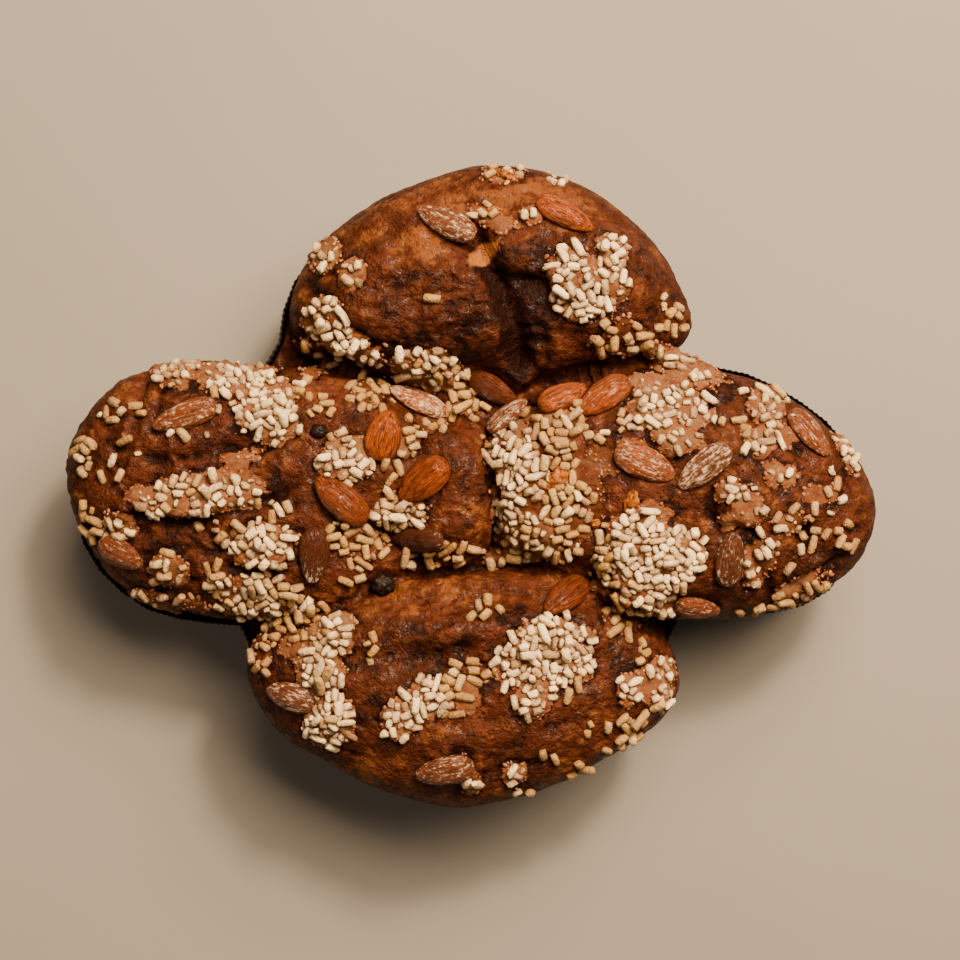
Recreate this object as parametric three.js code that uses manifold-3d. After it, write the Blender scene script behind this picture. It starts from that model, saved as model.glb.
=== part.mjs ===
// Colomba: a sweet Easter bread in the shape of a dove, baked in a dark paper mould, glazed, and topped
// with whole almonds and pearl sugar. Two loaves of dough end to end make the body, two more make the wings.
//
// Units are millimetres, with +Z up. The body lies along X and the wings along Y, and the origin is on the
// table under the middle of the cake.

import * as THREE from "three";
import { mergeVertices } from "three/addons/utils/BufferGeometryUtils.js";
import Module from "manifold-3d";

const wasm = await Module();
wasm.setup();

// ---- Driving dimensions -------------------------------------------------------------------------------

const MOULD = {
  height: 50, // from the table to the rim
  paper: 0.8, // thickness of the corrugated wall and of the sheet under the cake
  gap: 0.3, // between the paper and the dough
  steps: 72, // straight stretches round the rim
};

const DOUGH = {
  middle: 46, // height at which a loaf is widest
  depth: 28, // how far a loaf goes down from there, inside the mould
  footTop: 44, // up to here the dough fills the mould from wall to wall
  squareness: 0.78, // 1 is an ellipsoid, and less gives fuller shoulders
  fold: 0.9, // height of the folds that baking leaves in the crust
  loafDetail: 5, // how finely a loaf is divided
  swellingDetail: 3, // and a swelling
};

const ALMOND = { rings: 7, sides: 7, thickness: 0.66, sink: 0.3, gap: 0.35 };
const SUGAR = { radius: 2.1, shortest: 5, longest: 9, sides: 5, sink: 0.25, seed: 7 };

const COLOURS = { crust: 0x6b3413, paper: 0x1c100c, almond: 0x9a4a1c, raisin: 0x1b1210 };

// The mould's rim, as points that a smooth closed curve runs through, anticlockwise from the right-hand tip.
const RIM = [
  [151, -8], [146, 16], [127, 33.5], [104, 44.5], [82, 48.5], [77, 60], [72, 82], [56, 103], [30, 116.5],
  [2, 119.5], [-26, 114], [-50, 100], [-69, 78], [-74.5, 60], [-76, 48], [-98, 46.5], [-120, 43], [-138, 32],
  [-150, 12], [-154, -8], [-149, -26], [-139, -39], [-124, -49.5], [-106, -54], [-88, -56], [-85, -68],
  [-76, -89], [-54, -106.5], [-24, -117.5], [4, -120], [34, -114], [60, -100], [77, -81], [76.5, -62],
  [78, -54], [100, -51.5], [124, -49], [139, -42], [148, -28],
];

// Each loaf of dough: its centre, how far it rises over DOUGH.middle, and its outline seen from above, as
// [degrees anticlockwise from +X, millimetres from the centre].
const LOAVES = [
  {
    at: [-77, -2], rise: 31,
    outline: [
      [0, 74], [30, 64], [60, 55], [90, 46.5], [120, 57], [150, 74], [170, 79.5], [185, 77], [210, 70],
      [240, 56], [270, 51], [300, 60], [330, 68],
    ],
  },
  {
    at: [81, -3], rise: 34,
    outline: [
      [0, 75], [30, 60], [60, 51], [90, 48], [120, 57], [150, 69], [180, 71], [210, 66], [240, 54], [270, 49],
      [300, 55], [330, 70], [345, 76],
    ],
  },
  {
    at: [6, 79], rise: 34,
    outline: [
      [0, 74], [30, 57.5], [60, 48], [90, 44.5], [120, 44.5], [150, 54.5], [180, 73], [200, 77], [220, 58],
      [245, 46], [270, 40], [300, 46], [325, 62], [345, 82],
    ],
  },
  {
    at: [-3, -79], rise: 33,
    outline: [
      [0, 84], [25, 76], [60, 54], [90, 47], [120, 50], [150, 70], [170, 84], [190, 75.5], [210, 58.5],
      [240, 48], [270, 46], [300, 47.5], [330, 59], [345, 72],
    ],
  },
];

// Smaller swellings of the dough over and between the loaves: centre, half-width, half-depth, half-height, turn.
const SWELLINGS = [
  { at: [0, 0, 40], size: [112, 44, 21], turn: 0 }, // fills the clefts along the body
  { at: [2, 0, 40], size: [50, 96, 21], turn: 0 }, // and along the wings
  { at: [-9, 0, 52], size: [22, 33, 25], turn: 8 }, // where the two body loaves press together
  { at: [36, 4, 57], size: [30, 34, 23], turn: 0 }, // the right-hand loaf's broad shoulder
  { at: [-40, 12, 55], size: [34, 26, 22], turn: -15 }, // and the left-hand one's
  { at: [70, -28, 60], size: [26, 22, 22], turn: 10 }, // the dome under the largest heap of sugar
  { at: [17, 46, 50], size: [11, 12, 20], turn: 0 }, // the knob at the foot of the upper wing
  { at: [44, 76, 56], size: [30, 27, 26], turn: -15 },
  { at: [-26, 74, 55], size: [36, 27, 26], turn: 12 },
  { at: [-97, -6, 58], size: [46, 15, 20], turn: 3 },
  { at: [10, -60, 55], size: [52, 18, 25], turn: 4 }, // the lip along the lower wing's upper edge
  { at: [84, 44, 53], size: [17, 5, 9], turn: -27 }, // the torn flap of crust between wing and body
];

// Almonds: place, length, width, the way the pointed end looks in degrees, and how much lies in the dough.
const ALMONDS = [
  [-8, 98, 23.5, 11, 152], [35, 101, 23, 11, -27], [-107, 26, 25, 11, 200], [-132, -26, 20, 11.5, -14],
  [-59, -26, 21, 12, -95], [-48, -6, 24.5, 13, 139], [-32, 18, 19, 13.5, 78], [-17, 2, 23, 13, 219],
  [-20, 31, 23.5, 11, 163], [-19, -20, 22, 11, 200], [9, 37, 21, 11, -24], [15, 25, 18.5, 10.5, 20],
  [35, 32, 20, 11, 40], [51, 33, 22.5, 12.5, 219], [65, 8, 24, 13, -25], [88, 7, 23.5, 11.5, 219],
  [128, 19, 22, 11, -54], [98, -28, 21, 11.5, 85], [86, -46, 18, 10.5, -27], [36, -43, 22.5, 12.5, 235],
  [-67, -80, 20, 11.5, 172], [-9, -107, 22, 12, 192],
];

// Raisins that stand out of the crust: place and diameter.
const RAISINS = [[-33, -38, 10], [-57, 20, 6.5]];

// Heaps of pearl sugar: centre, half-width, half-depth, turn and number of grains.
const HEAPS = [
  [44, 77, 14, 15, 0, 5], [-46, 52, 12, 5, -15, 2], [-54, 64, 8, 8, 0, 2], [58, 56, 12, 6, 0, 2],
  [76, 64, 6, 7, 0, 2], [13, 118, 9, 3, 0, 2], [35, 115, 6, 3, 0, 2], [-50, 83, 7, 6, 0, 2],
  [-14, 45, 13, 6, 0, 3], [-38, 36, 10, 7, 0, 2], [81, 47, 13, 3, -27, 2],
  [-112, 41, 10, 6, 0, 3], [-77, 29, 13, 12, 0, 5], [-102, -4, 24, 7, 3, 5], [-145, 6, 5, 22, 0, 3],
  [-47, 10, 12, 8, 0, 3], [-78, -24, 12, 7, 0, 3], [-84, -43, 17, 9, 0, 4], [-115, -37, 12, 8, 0, 3],
  [-27, -11, 11, 6, 0, 2], [-36, -26, 18, 8, 0, 3],
  [23, 13, 13, 10, 0, 4], [19, -6, 9, 10, 0, 2], [41, -7, 11, 12, 0, 3], [27, -22, 14, 7, 0, 3],
  [75, 28, 15, 9, 0, 4], [112, 27, 10, 9, 0, 3], [70, -28, 19, 17, 0, 7], [122, -20, 17, 14, 0, 4],
  [125, -41, 12, 4, 15, 2],
  [26, -66, 18, 15, 0, 6], [-17, -83, 12, 10, 0, 4], [-54, -60, 7, 8, 0, 2], [-54, -90, 9, 9, 0, 3],
  [-76, -62, 6, 9, 0, 2], [64, -73, 10, 10, 0, 3], [50, -98, 20, 6, 32, 3],
];

// ---- Solids -------------------------------------------------------------------------------------------

const radians = THREE.MathUtils.degToRad;

// A closed three.js geometry as a solid that can be joined and cut.
function solidFrom(geometry) {
  const bare = geometry.clone();
  for (const name of ["normal", "uv"]) bare.deleteAttribute(name);
  const merged = mergeVertices(bare, 1e-4);
  return new wasm.Manifold(
    new wasm.Mesh({
      numProp: 3,
      vertProperties: merged.attributes.position.array,
      triVerts: new Uint32Array(merged.index.array),
    }),
  );
}

// A solid as a three.js geometry, with flat faces.
function geometryFrom(solid) {
  const { vertProperties, triVerts } = solid.getMesh();
  const indexed = new THREE.BufferGeometry()
    .setAttribute("position", new THREE.BufferAttribute(vertProperties, 3))
    .setIndex(new THREE.BufferAttribute(triVerts, 1));
  const geometry = indexed.toNonIndexed();
  geometry.computeVertexNormals();
  return geometry;
}

const joined = (solids) => solids.reduce((all, next) => all.add(next));

const largestPiece = (solid) =>
  solid.decompose().reduce((best, piece) => (piece.volume() > best.volume() ? piece : best));

// A repeatable stand-in for chance, from 0 to 1.
function makeDice(seed) {
  let state = seed;
  return () => {
    state = (state * 1103515245 + 12345) % 2147483648;
    return state / 2147483648;
  };
}

// ---- The paper mould ----------------------------------------------------------------------------------

function rimPoints(inset) {
  const curve = new THREE.CatmullRomCurve3(RIM.map(([x, y]) => new THREE.Vector3(x, y, 0)), true);
  return Array.from({ length: MOULD.steps }, (_, i) => {
    const share = i / MOULD.steps;
    const point = curve.getPointAt(share);
    const along = curve.getTangentAt(share);
    return new THREE.Vector2(point.x - along.y * inset, point.y + along.x * inset);
  });
}

function prism(inset, bottom, top) {
  const shape = new THREE.Shape(rimPoints(inset));
  const geometry = new THREE.ExtrudeGeometry(shape, { depth: top - bottom, bevelEnabled: false });
  return solidFrom(geometry.translate(0, 0, bottom));
}

function paperMould() {
  const inside = prism(MOULD.paper, MOULD.paper, MOULD.height + 1);
  return prism(0, 0, MOULD.height).subtract(inside);
}

// ---- The dough ----------------------------------------------------------------------------------------

// A loaf's reach in one direction, read smoothly between the stated ones.
function reach(outline, angle) {
  const degrees = THREE.MathUtils.euclideanModulo(THREE.MathUtils.radToDeg(angle), 360);
  const after = outline.findIndex(([a]) => a > degrees);
  const next = after < 0 ? 0 : after;
  const [a0, r0] = outline.at(next - 1);
  const [a1, r1] = outline[next];
  const span = THREE.MathUtils.euclideanModulo(a1 - a0, 360);
  const share = THREE.MathUtils.euclideanModulo(degrees - a0, 360) / span;
  return r0 + (r1 - r0) * (1 - Math.cos(Math.PI * share)) * 0.5;
}

// Folds and lumps of the crust, in millimetres, at a place seen from above.
function folds(x, y) {
  const longWave = Math.sin(0.075 * x + 0.21 * y + 1.1) * Math.cos(0.05 * x - 0.11 * y);
  const shortWave = Math.sin(0.31 * x - 0.17 * y) * Math.sin(0.13 * x + 0.29 * y + 0.7);
  return DOUGH.fold * (1.3 * longWave + 0.7 * shortWave);
}

// The top of a swollen form at a place inside its outline: 1 in the middle, and 0 at the edge.
function crownAt(share) {
  const cosine = share ** (1 / DOUGH.squareness);
  return Math.sqrt(Math.max(0, 1 - cosine * cosine)) ** DOUGH.squareness;
}

// Moves each point of a unit sphere to where place(direction angle, share outwards, share upwards) says.
function swollen(detail, place) {
  const geometry = new THREE.IcosahedronGeometry(1, detail);
  const points = geometry.attributes.position;
  for (let i = 0; i < points.count; i++) {
    const [x, y, z] = [points.getX(i), points.getY(i), points.getZ(i)];
    const outwards = Math.min(1, Math.hypot(x, y)) ** DOUGH.squareness;
    const upwards = Math.sign(z) * Math.abs(z) ** DOUGH.squareness;
    points.setXYZ(i, ...place(Math.atan2(y, x), outwards, upwards));
  }
  return solidFrom(geometry);
}

function loafSolid({ at: [cx, cy], rise, outline }) {
  return swollen(DOUGH.loafDetail, (angle, outwards, upwards) => {
    const radius = reach(outline, angle) * outwards;
    const [x, y] = [cx + radius * Math.cos(angle), cy + radius * Math.sin(angle)];
    const height = upwards > 0 ? (rise + folds(x, y)) * upwards : DOUGH.depth * upwards;
    return [x, y, DOUGH.middle + height];
  });
}

function swellingSolid({ at: [cx, cy, cz], size: [sx, sy, sz], turn }) {
  const [c, s] = [Math.cos(radians(turn)), Math.sin(radians(turn))];
  return swollen(DOUGH.swellingDetail, (angle, outwards, upwards) => {
    const [u, v] = [sx * outwards * Math.cos(angle), sy * outwards * Math.sin(angle)];
    const [x, y] = [cx + u * c - v * s, cy + u * s + v * c];
    return [x, y, cz + (sz + folds(x, y)) * upwards];
  });
}

// The height of the crust at a place, from the same forms.
function crustAt(x, y) {
  const ofLoaves = LOAVES.map(({ at, rise, outline }) => {
    const [dx, dy] = [x - at[0], y - at[1]];
    const share = Math.hypot(dx, dy) / reach(outline, Math.atan2(dy, dx));
    return share < 1 ? DOUGH.middle + (rise + folds(x, y)) * crownAt(share) : 0;
  });
  const ofSwellings = SWELLINGS.map(({ at, size, turn }) => {
    const [c, s] = [Math.cos(radians(turn)), Math.sin(radians(turn))];
    const [dx, dy] = [x - at[0], y - at[1]];
    const share = Math.hypot((dx * c + dy * s) / size[0], (dy * c - dx * s) / size[1]);
    return share < 1 ? at[2] + (size[2] + folds(x, y)) * crownAt(share) : 0;
  });
  return Math.max(MOULD.height, ...ofLoaves, ...ofSwellings);
}

// A frame that lies on the crust, turned about its normal, with its origin lifted over the surface.
function frameOnCrust(x, y, turn, lift) {
  const step = 4; // the slope is read over this distance each way
  const slopeX = (crustAt(x + step, y) - crustAt(x - step, y)) / (2 * step);
  const slopeY = (crustAt(x, y + step) - crustAt(x, y - step)) / (2 * step);
  const normal = new THREE.Vector3(-slopeX, -slopeY, 1).normalize();
  const along = new THREE.Vector3(Math.cos(turn), Math.sin(turn), 0);
  along.addScaledVector(normal, -along.dot(normal)).normalize();
  const across = new THREE.Vector3().crossVectors(normal, along);
  const origin = new THREE.Vector3(x, y, crustAt(x, y)).addScaledVector(normal, lift);
  return new THREE.Matrix4().makeBasis(along, across, normal).setPosition(origin);
}

// The loaves joined. What is inside the mould stays clear of its paper, and what has risen hangs over the rim.
function bareCake() {
  const inset = MOULD.paper + MOULD.gap;
  const overRim = MOULD.height + MOULD.gap;
  const roof = 100; // over the highest loaf
  const foot = prism(inset, inset, DOUGH.footTop);
  const above = solidFrom(new THREE.BoxGeometry(400, 400, roof).translate(0, 0, overRim + roof / 2));
  const dough = joined([foot, ...LOAVES.map(loafSolid), ...SWELLINGS.map(swellingSolid)]);
  return dough.intersect(prism(inset, inset, overRim).add(above));
}

// ---- Almonds, raisins and pearl sugar -------------------------------------------------------------------

// An almond along X with its pointed end at +X, grown by extra on every side.
function almondGeometry(length, width, extra = 0) {
  const thickness = width * ALMOND.thickness;
  const geometry = new THREE.SphereGeometry(1, ALMOND.sides, ALMOND.rings).rotateZ(-Math.PI / 2);
  const points = geometry.attributes.position;
  for (let i = 0; i < points.count; i++) {
    const x = points.getX(i);
    const taper = 1 - 0.22 * x - 0.1 * x * x;
    points.setXYZ(
      i,
      (length / 2 + extra) * (x + 0.06 * Math.max(0, x) ** 4),
      (width / 2 + extra) * points.getY(i) * taper,
      (thickness / 2 + extra) * points.getZ(i) * taper,
    );
  }
  return geometry;
}

function almondPlace([x, y, , width, turn]) {
  const thickness = width * ALMOND.thickness;
  return frameOnCrust(x, y, radians(turn), thickness * (0.5 - ALMOND.sink));
}

function raisinGeometry(diameter, extra = 0) {
  const radius = diameter / 2 + extra;
  return new THREE.IcosahedronGeometry(radius, 1).scale(1, 0.85, 0.8);
}

const raisinPlace = ([x, y]) => frameOnCrust(x, y, 0, 0);

// A grain: a short rod with rounded ends, along X.
function grainGeometry(radius, length) {
  const profile = [[0, -0.5], [1, -0.33], [1, 0.33], [0, 0.5]];
  const points = profile.map(([r, h]) => new THREE.Vector2(r * radius, h * length));
  return new THREE.LatheGeometry(points, SUGAR.sides).rotateZ(Math.PI / 2);
}

// The grains of one heap, spread evenly by turning the golden angle from one to the next.
function heapGrains([cx, cy, halfWidth, halfDepth, turn, count], dice) {
  const goldenAngle = Math.PI * (3 - Math.sqrt(5));
  const [c, s] = [Math.cos(radians(turn)), Math.sin(radians(turn))];
  return Array.from({ length: count }, (_, i) => {
    const share = Math.sqrt((i + 0.5) / count);
    const [u, v] = [
      halfWidth * share * Math.cos(i * goldenAngle),
      halfDepth * share * Math.sin(i * goldenAngle),
    ];
    const length = SUGAR.shortest + (SUGAR.longest - SUGAR.shortest) * dice() ** 2;
    const place = frameOnCrust(
      cx + u * c - v * s,
      cy + u * s + v * c,
      Math.PI * dice(),
      SUGAR.radius * (1 - 2 * SUGAR.sink),
    );
    return solidFrom(grainGeometry(SUGAR.radius * (0.85 + 0.25 * dice()), length).applyMatrix4(place));
  });
}

function sugaredCake() {
  const dice = makeDice(SUGAR.seed);
  const grains = HEAPS.flatMap((heap) => heapGrains(heap, dice));
  const pockets = [
    ...ALMONDS.map((almond) =>
      solidFrom(almondGeometry(almond[2], almond[3], ALMOND.gap).applyMatrix4(almondPlace(almond)))),
    ...RAISINS.map((raisin) =>
      solidFrom(raisinGeometry(raisin[2], ALMOND.gap).applyMatrix4(raisinPlace(raisin)))),
  ];
  return largestPiece(joined([bareCake(), ...grains]).subtract(joined(pockets)));
}

// ---- The object -----------------------------------------------------------------------------------------

const finish = (color, roughness) => new THREE.MeshStandardMaterial({ color, roughness, metalness: 0 });

const colomba = new THREE.Group();

function addPiece(name, geometry, material, place = new THREE.Matrix4()) {
  const mesh = new THREE.Mesh(geometry, material);
  mesh.name = name;
  mesh.applyMatrix4(place);
  colomba.add(mesh);
}

const twoDigits = (i) => String(i + 1).padStart(2, "0");

addPiece("paper_mould", geometryFrom(paperMould()), finish(COLOURS.paper, 0.7));
addPiece("cake", geometryFrom(sugaredCake()), finish(COLOURS.crust, 0.55));

const almondSkin = finish(COLOURS.almond, 0.45);
ALMONDS.forEach((almond, i) => {
  addPiece(`almond_${twoDigits(i)}`, almondGeometry(almond[2], almond[3]), almondSkin, almondPlace(almond));
});

const raisinSkin = finish(COLOURS.raisin, 0.5);
RAISINS.forEach((raisin, i) => {
  addPiece(`raisin_${twoDigits(i)}`, raisinGeometry(raisin[2]), raisinSkin, raisinPlace(raisin));
});

export default colomba;
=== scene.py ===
# A colomba, the dove-shaped Easter bread, dressed for the table: a dark crinkled crust, torn patches of
# almond glaze, heaps of pearl sugar, whole almonds, two raisins, and the pleated paper mould round it.
#
# The file is laid out as an add-on. The forms below are drawn in millimetres, as in the pastry kitchen, and
# MM turns them into Blender's metres. +X runs along the dove's body and +Y towards the upper wing.

import math
import random

import bmesh
import bpy
import numpy as np
from bpy.props import FloatProperty, FloatVectorProperty, IntProperty, PointerProperty
from mathutils import Matrix, Vector, noise
from mathutils.bvhtree import BVHTree


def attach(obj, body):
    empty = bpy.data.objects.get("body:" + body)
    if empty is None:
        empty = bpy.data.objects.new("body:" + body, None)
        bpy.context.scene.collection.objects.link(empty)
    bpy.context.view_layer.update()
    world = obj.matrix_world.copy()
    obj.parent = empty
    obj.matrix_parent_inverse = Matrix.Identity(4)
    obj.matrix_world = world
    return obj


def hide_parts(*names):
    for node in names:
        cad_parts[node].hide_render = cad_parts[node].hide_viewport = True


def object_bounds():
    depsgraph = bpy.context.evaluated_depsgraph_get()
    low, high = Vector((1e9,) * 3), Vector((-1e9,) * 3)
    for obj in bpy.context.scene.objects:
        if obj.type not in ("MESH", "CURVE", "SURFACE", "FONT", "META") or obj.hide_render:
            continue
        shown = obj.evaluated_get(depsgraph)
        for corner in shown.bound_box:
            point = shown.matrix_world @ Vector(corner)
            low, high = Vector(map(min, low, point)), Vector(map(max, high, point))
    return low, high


bl_info = {
    "name": "Colomba",
    "version": (1, 0, 0),
    "blender": (4, 5, 0),
    "location": "3D View > Sidebar > Colomba",
    "description": "Models a glazed Easter bread with almonds and pearl sugar in its paper mould",
    "category": "Add Mesh",
}

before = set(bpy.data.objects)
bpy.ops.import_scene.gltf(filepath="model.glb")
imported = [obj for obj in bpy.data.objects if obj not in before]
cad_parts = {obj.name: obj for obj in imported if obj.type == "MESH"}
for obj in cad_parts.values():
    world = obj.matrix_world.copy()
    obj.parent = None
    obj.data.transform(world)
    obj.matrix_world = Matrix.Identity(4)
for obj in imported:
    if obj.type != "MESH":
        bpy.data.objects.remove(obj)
CAD_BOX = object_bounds()
MM = 0.001

# ---- The form of the dough, in millimetres ---------------------------------------------------------------

MIDDLE = 46.0  # height at which a loaf is widest
DEPTH = 28.0  # how far it goes down from there
FOOT_TOP = 44.0  # up to here the dough fills the mould
FOOT_INSET = 2.0  # but stays this far off its wall and off the table
CUT = 40.0  # the fine skin of the crust ends here, inside the mould
FOOT = 1.4  # and closes with a plain foot at this height
FOLD = 0.9  # height of the long folds that baking leaves in the crust
SQUARENESS = 0.78  # 1 is an ellipsoid, and less gives fuller shoulders
RIM_HEIGHT = 50.0  # of the paper mould
PAPER_ROOM = 1.3  # the pleated paper takes this much inside the mould's outline
PAPER = 0.25  # its thickness
PLEAT_POINTS = 8  # points that draw one pleat
RIM_STRETCHES = 160  # the mould's outline as this many straight stretches

# Each loaf: centre, rise over MIDDLE, and outline as (degrees, millimetres from the centre).
LOAVES = (
    ((-77, -2), 31, ((0, 74), (30, 64), (60, 55), (90, 46.5), (120, 57), (150, 74), (170, 79.5), (185, 77),
                     (210, 70), (240, 56), (270, 51), (300, 60), (330, 68))),
    ((81, -3), 34, ((0, 75), (30, 60), (60, 51), (90, 48), (120, 57), (150, 69), (180, 71), (210, 66),
                    (240, 54), (270, 49), (300, 55), (330, 70), (345, 76))),
    ((6, 79), 34, ((0, 74), (30, 57.5), (60, 48), (90, 44.5), (120, 44.5), (150, 54.5), (180, 73), (200, 77),
                   (220, 58), (245, 46), (270, 40), (300, 46), (325, 62), (345, 82))),
    ((-3, -79), 33, ((0, 84), (25, 76), (60, 54), (90, 47), (120, 50), (150, 70), (170, 84), (190, 75.5),
                     (210, 58.5), (240, 48), (270, 46), (300, 47.5), (330, 59), (345, 72))),
)

# Smaller swellings: centre, half sizes, and turn in degrees.
SWELLINGS = (
    ((0, 0, 40), (112, 44, 21), 0),
    ((2, 0, 40), (50, 96, 21), 0),
    ((-9, 0, 52), (22, 33, 25), 8),
    ((36, 4, 57), (30, 34, 23), 0),
    ((-40, 12, 55), (34, 26, 22), -15),
    ((70, -28, 60), (26, 22, 22), 10),
    ((17, 46, 50), (11, 12, 20), 0),
    ((44, 76, 56), (30, 27, 26), -15),
    ((-26, 74, 55), (36, 27, 26), 12),
    ((-97, -6, 58), (46, 15, 20), 3),
    ((10, -60, 55), (52, 18, 25), 4),
    ((84, 44, 53), (17, 5, 9), -27),
)

# Furrows that baking tore or folded into the crust: their course seen from above, half width and depth.
FURROWS = (
    (((2, 93), (7, 83), (12, 74), (15, 66), (18, 58), (19, 46)), 4.6, 7.0),
    (((10, 79), (19, 77), (27, 75)), 3.5, 3.0),
    (((-30, 95), (-24, 84), (-27, 74), (-20, 66)), 3.0, 1.2),
    (((-62, 76), (-50, 66), (-46, 58), (-34, 52)), 2.4, 1.6),
    (((17, 66), (27, 58), (30, 48)), 2.2, 2.0),
    (((-125, -11), (-110, -15), (-100, -15), (-90, -9), (-79, -8), (-69, -3)), 2.3, 3.2),
    (((-134, 14), (-120, 10), (-109, 10), (-100, 11), (-90, 14), (-77, 14)), 2.2, 2.2),
    (((-124, 40), (-126, 31), (-127, 18), (-130, 8)), 2.0, 1.9),
    (((-117, 42), (-118, 30), (-120, 22)), 1.8, 1.4),
    (((-124, -27), (-112, -24), (-105, -24), (-96, -26)), 2.0, 2.2),
    (((-91, -31), (-80, -34), (-70, -33)), 2.2, 2.4),
    (((-105, -4), (-104, -16), (-106, -30)), 1.8, 1.2),
    (((-98, -12), (-97, -24), (-99, -34)), 1.6, 1.1),
    (((6.5, 13), (7.5, 4), (10.5, -4.5), (11, -17), (10, -26)), 1.9, 4.5),
    (((-12, 14), (-10, 4), (-13, -8)), 1.6, 1.3),
    (((91, -2), (90, -12), (95, -17), (100, -16), (106, -18)), 2.2, 3.0),
    (((103, -17), (105, -25), (115, -41), (125, -38)), 2.0, 2.4),
    (((115, -42), (133, -33), (141, -28)), 1.8, 2.6),
    (((110, 14), (118, 16), (128, 10)), 1.8, 1.8),
    (((126, -17), (129, -24)), 3.0, 3.6),
    (((-40, -42), (-30, -36), (-14, -35), (0, -33), (14, -31), (30, -33), (44, -37)), 2.0, 1.8),
    (((-60, -50), (-48, -46), (-40, -42)), 2.0, 2.2),
    (((-30, -46), (-14, -44), (6, -41), (22, -42)), 1.5, 1.0),
    (((-50, -66), (-34, -66), (-8, -62), (10, -60)), 3.2, 1.4),
    (((30, -104), (10, -108), (-8, -118)), 2.0, 1.4),
)

# Local lumps, or hollows where the height is negative: centre, half sizes, turn, height.
LUMPS = (
    ((16, 84), (11, 10), 0, 2.4),
    ((17, 76), (6.0, 4.5), 0, -4.0),
    ((104, -9), (14, 12), -20, 2.2),
    ((102, -36), (9, 11), 10, 2.6),
    ((126, -19), (3.0, 2.6), 0, -5.0),
    ((-97, 20), (24, 6), 6, 1.6),
    ((-100, -31), (20, 7), -4, 1.4),
    ((-130, 20), (5, 20), 8, 1.8),
    ((-3, 8), (9, 9), 0, 1.6),
    ((-1, -10), (9, 10), 0, 1.2),
    ((-18, -40), (30, 4), 6, 2.0),
    ((2, -54), (38, 6), 4, 1.6),
    ((48, 20), (16, 8), 20, 1.0),
    ((84, -12), (7, 9), 0, -2.2),
    ((44, 41), (13, 4), 10, -6.0),
    ((-48, 46), (13, 3.5), -8, -5.0),
    ((70, 20), (18, 14), 0, 1.2),
    ((-120, -18), (22, 6), 2, -1.6),
    ((-39, -39), (4, 3), 0, -3.5),
)

# ---- Toppings, in millimetres ----------------------------------------------------------------------------

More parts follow.
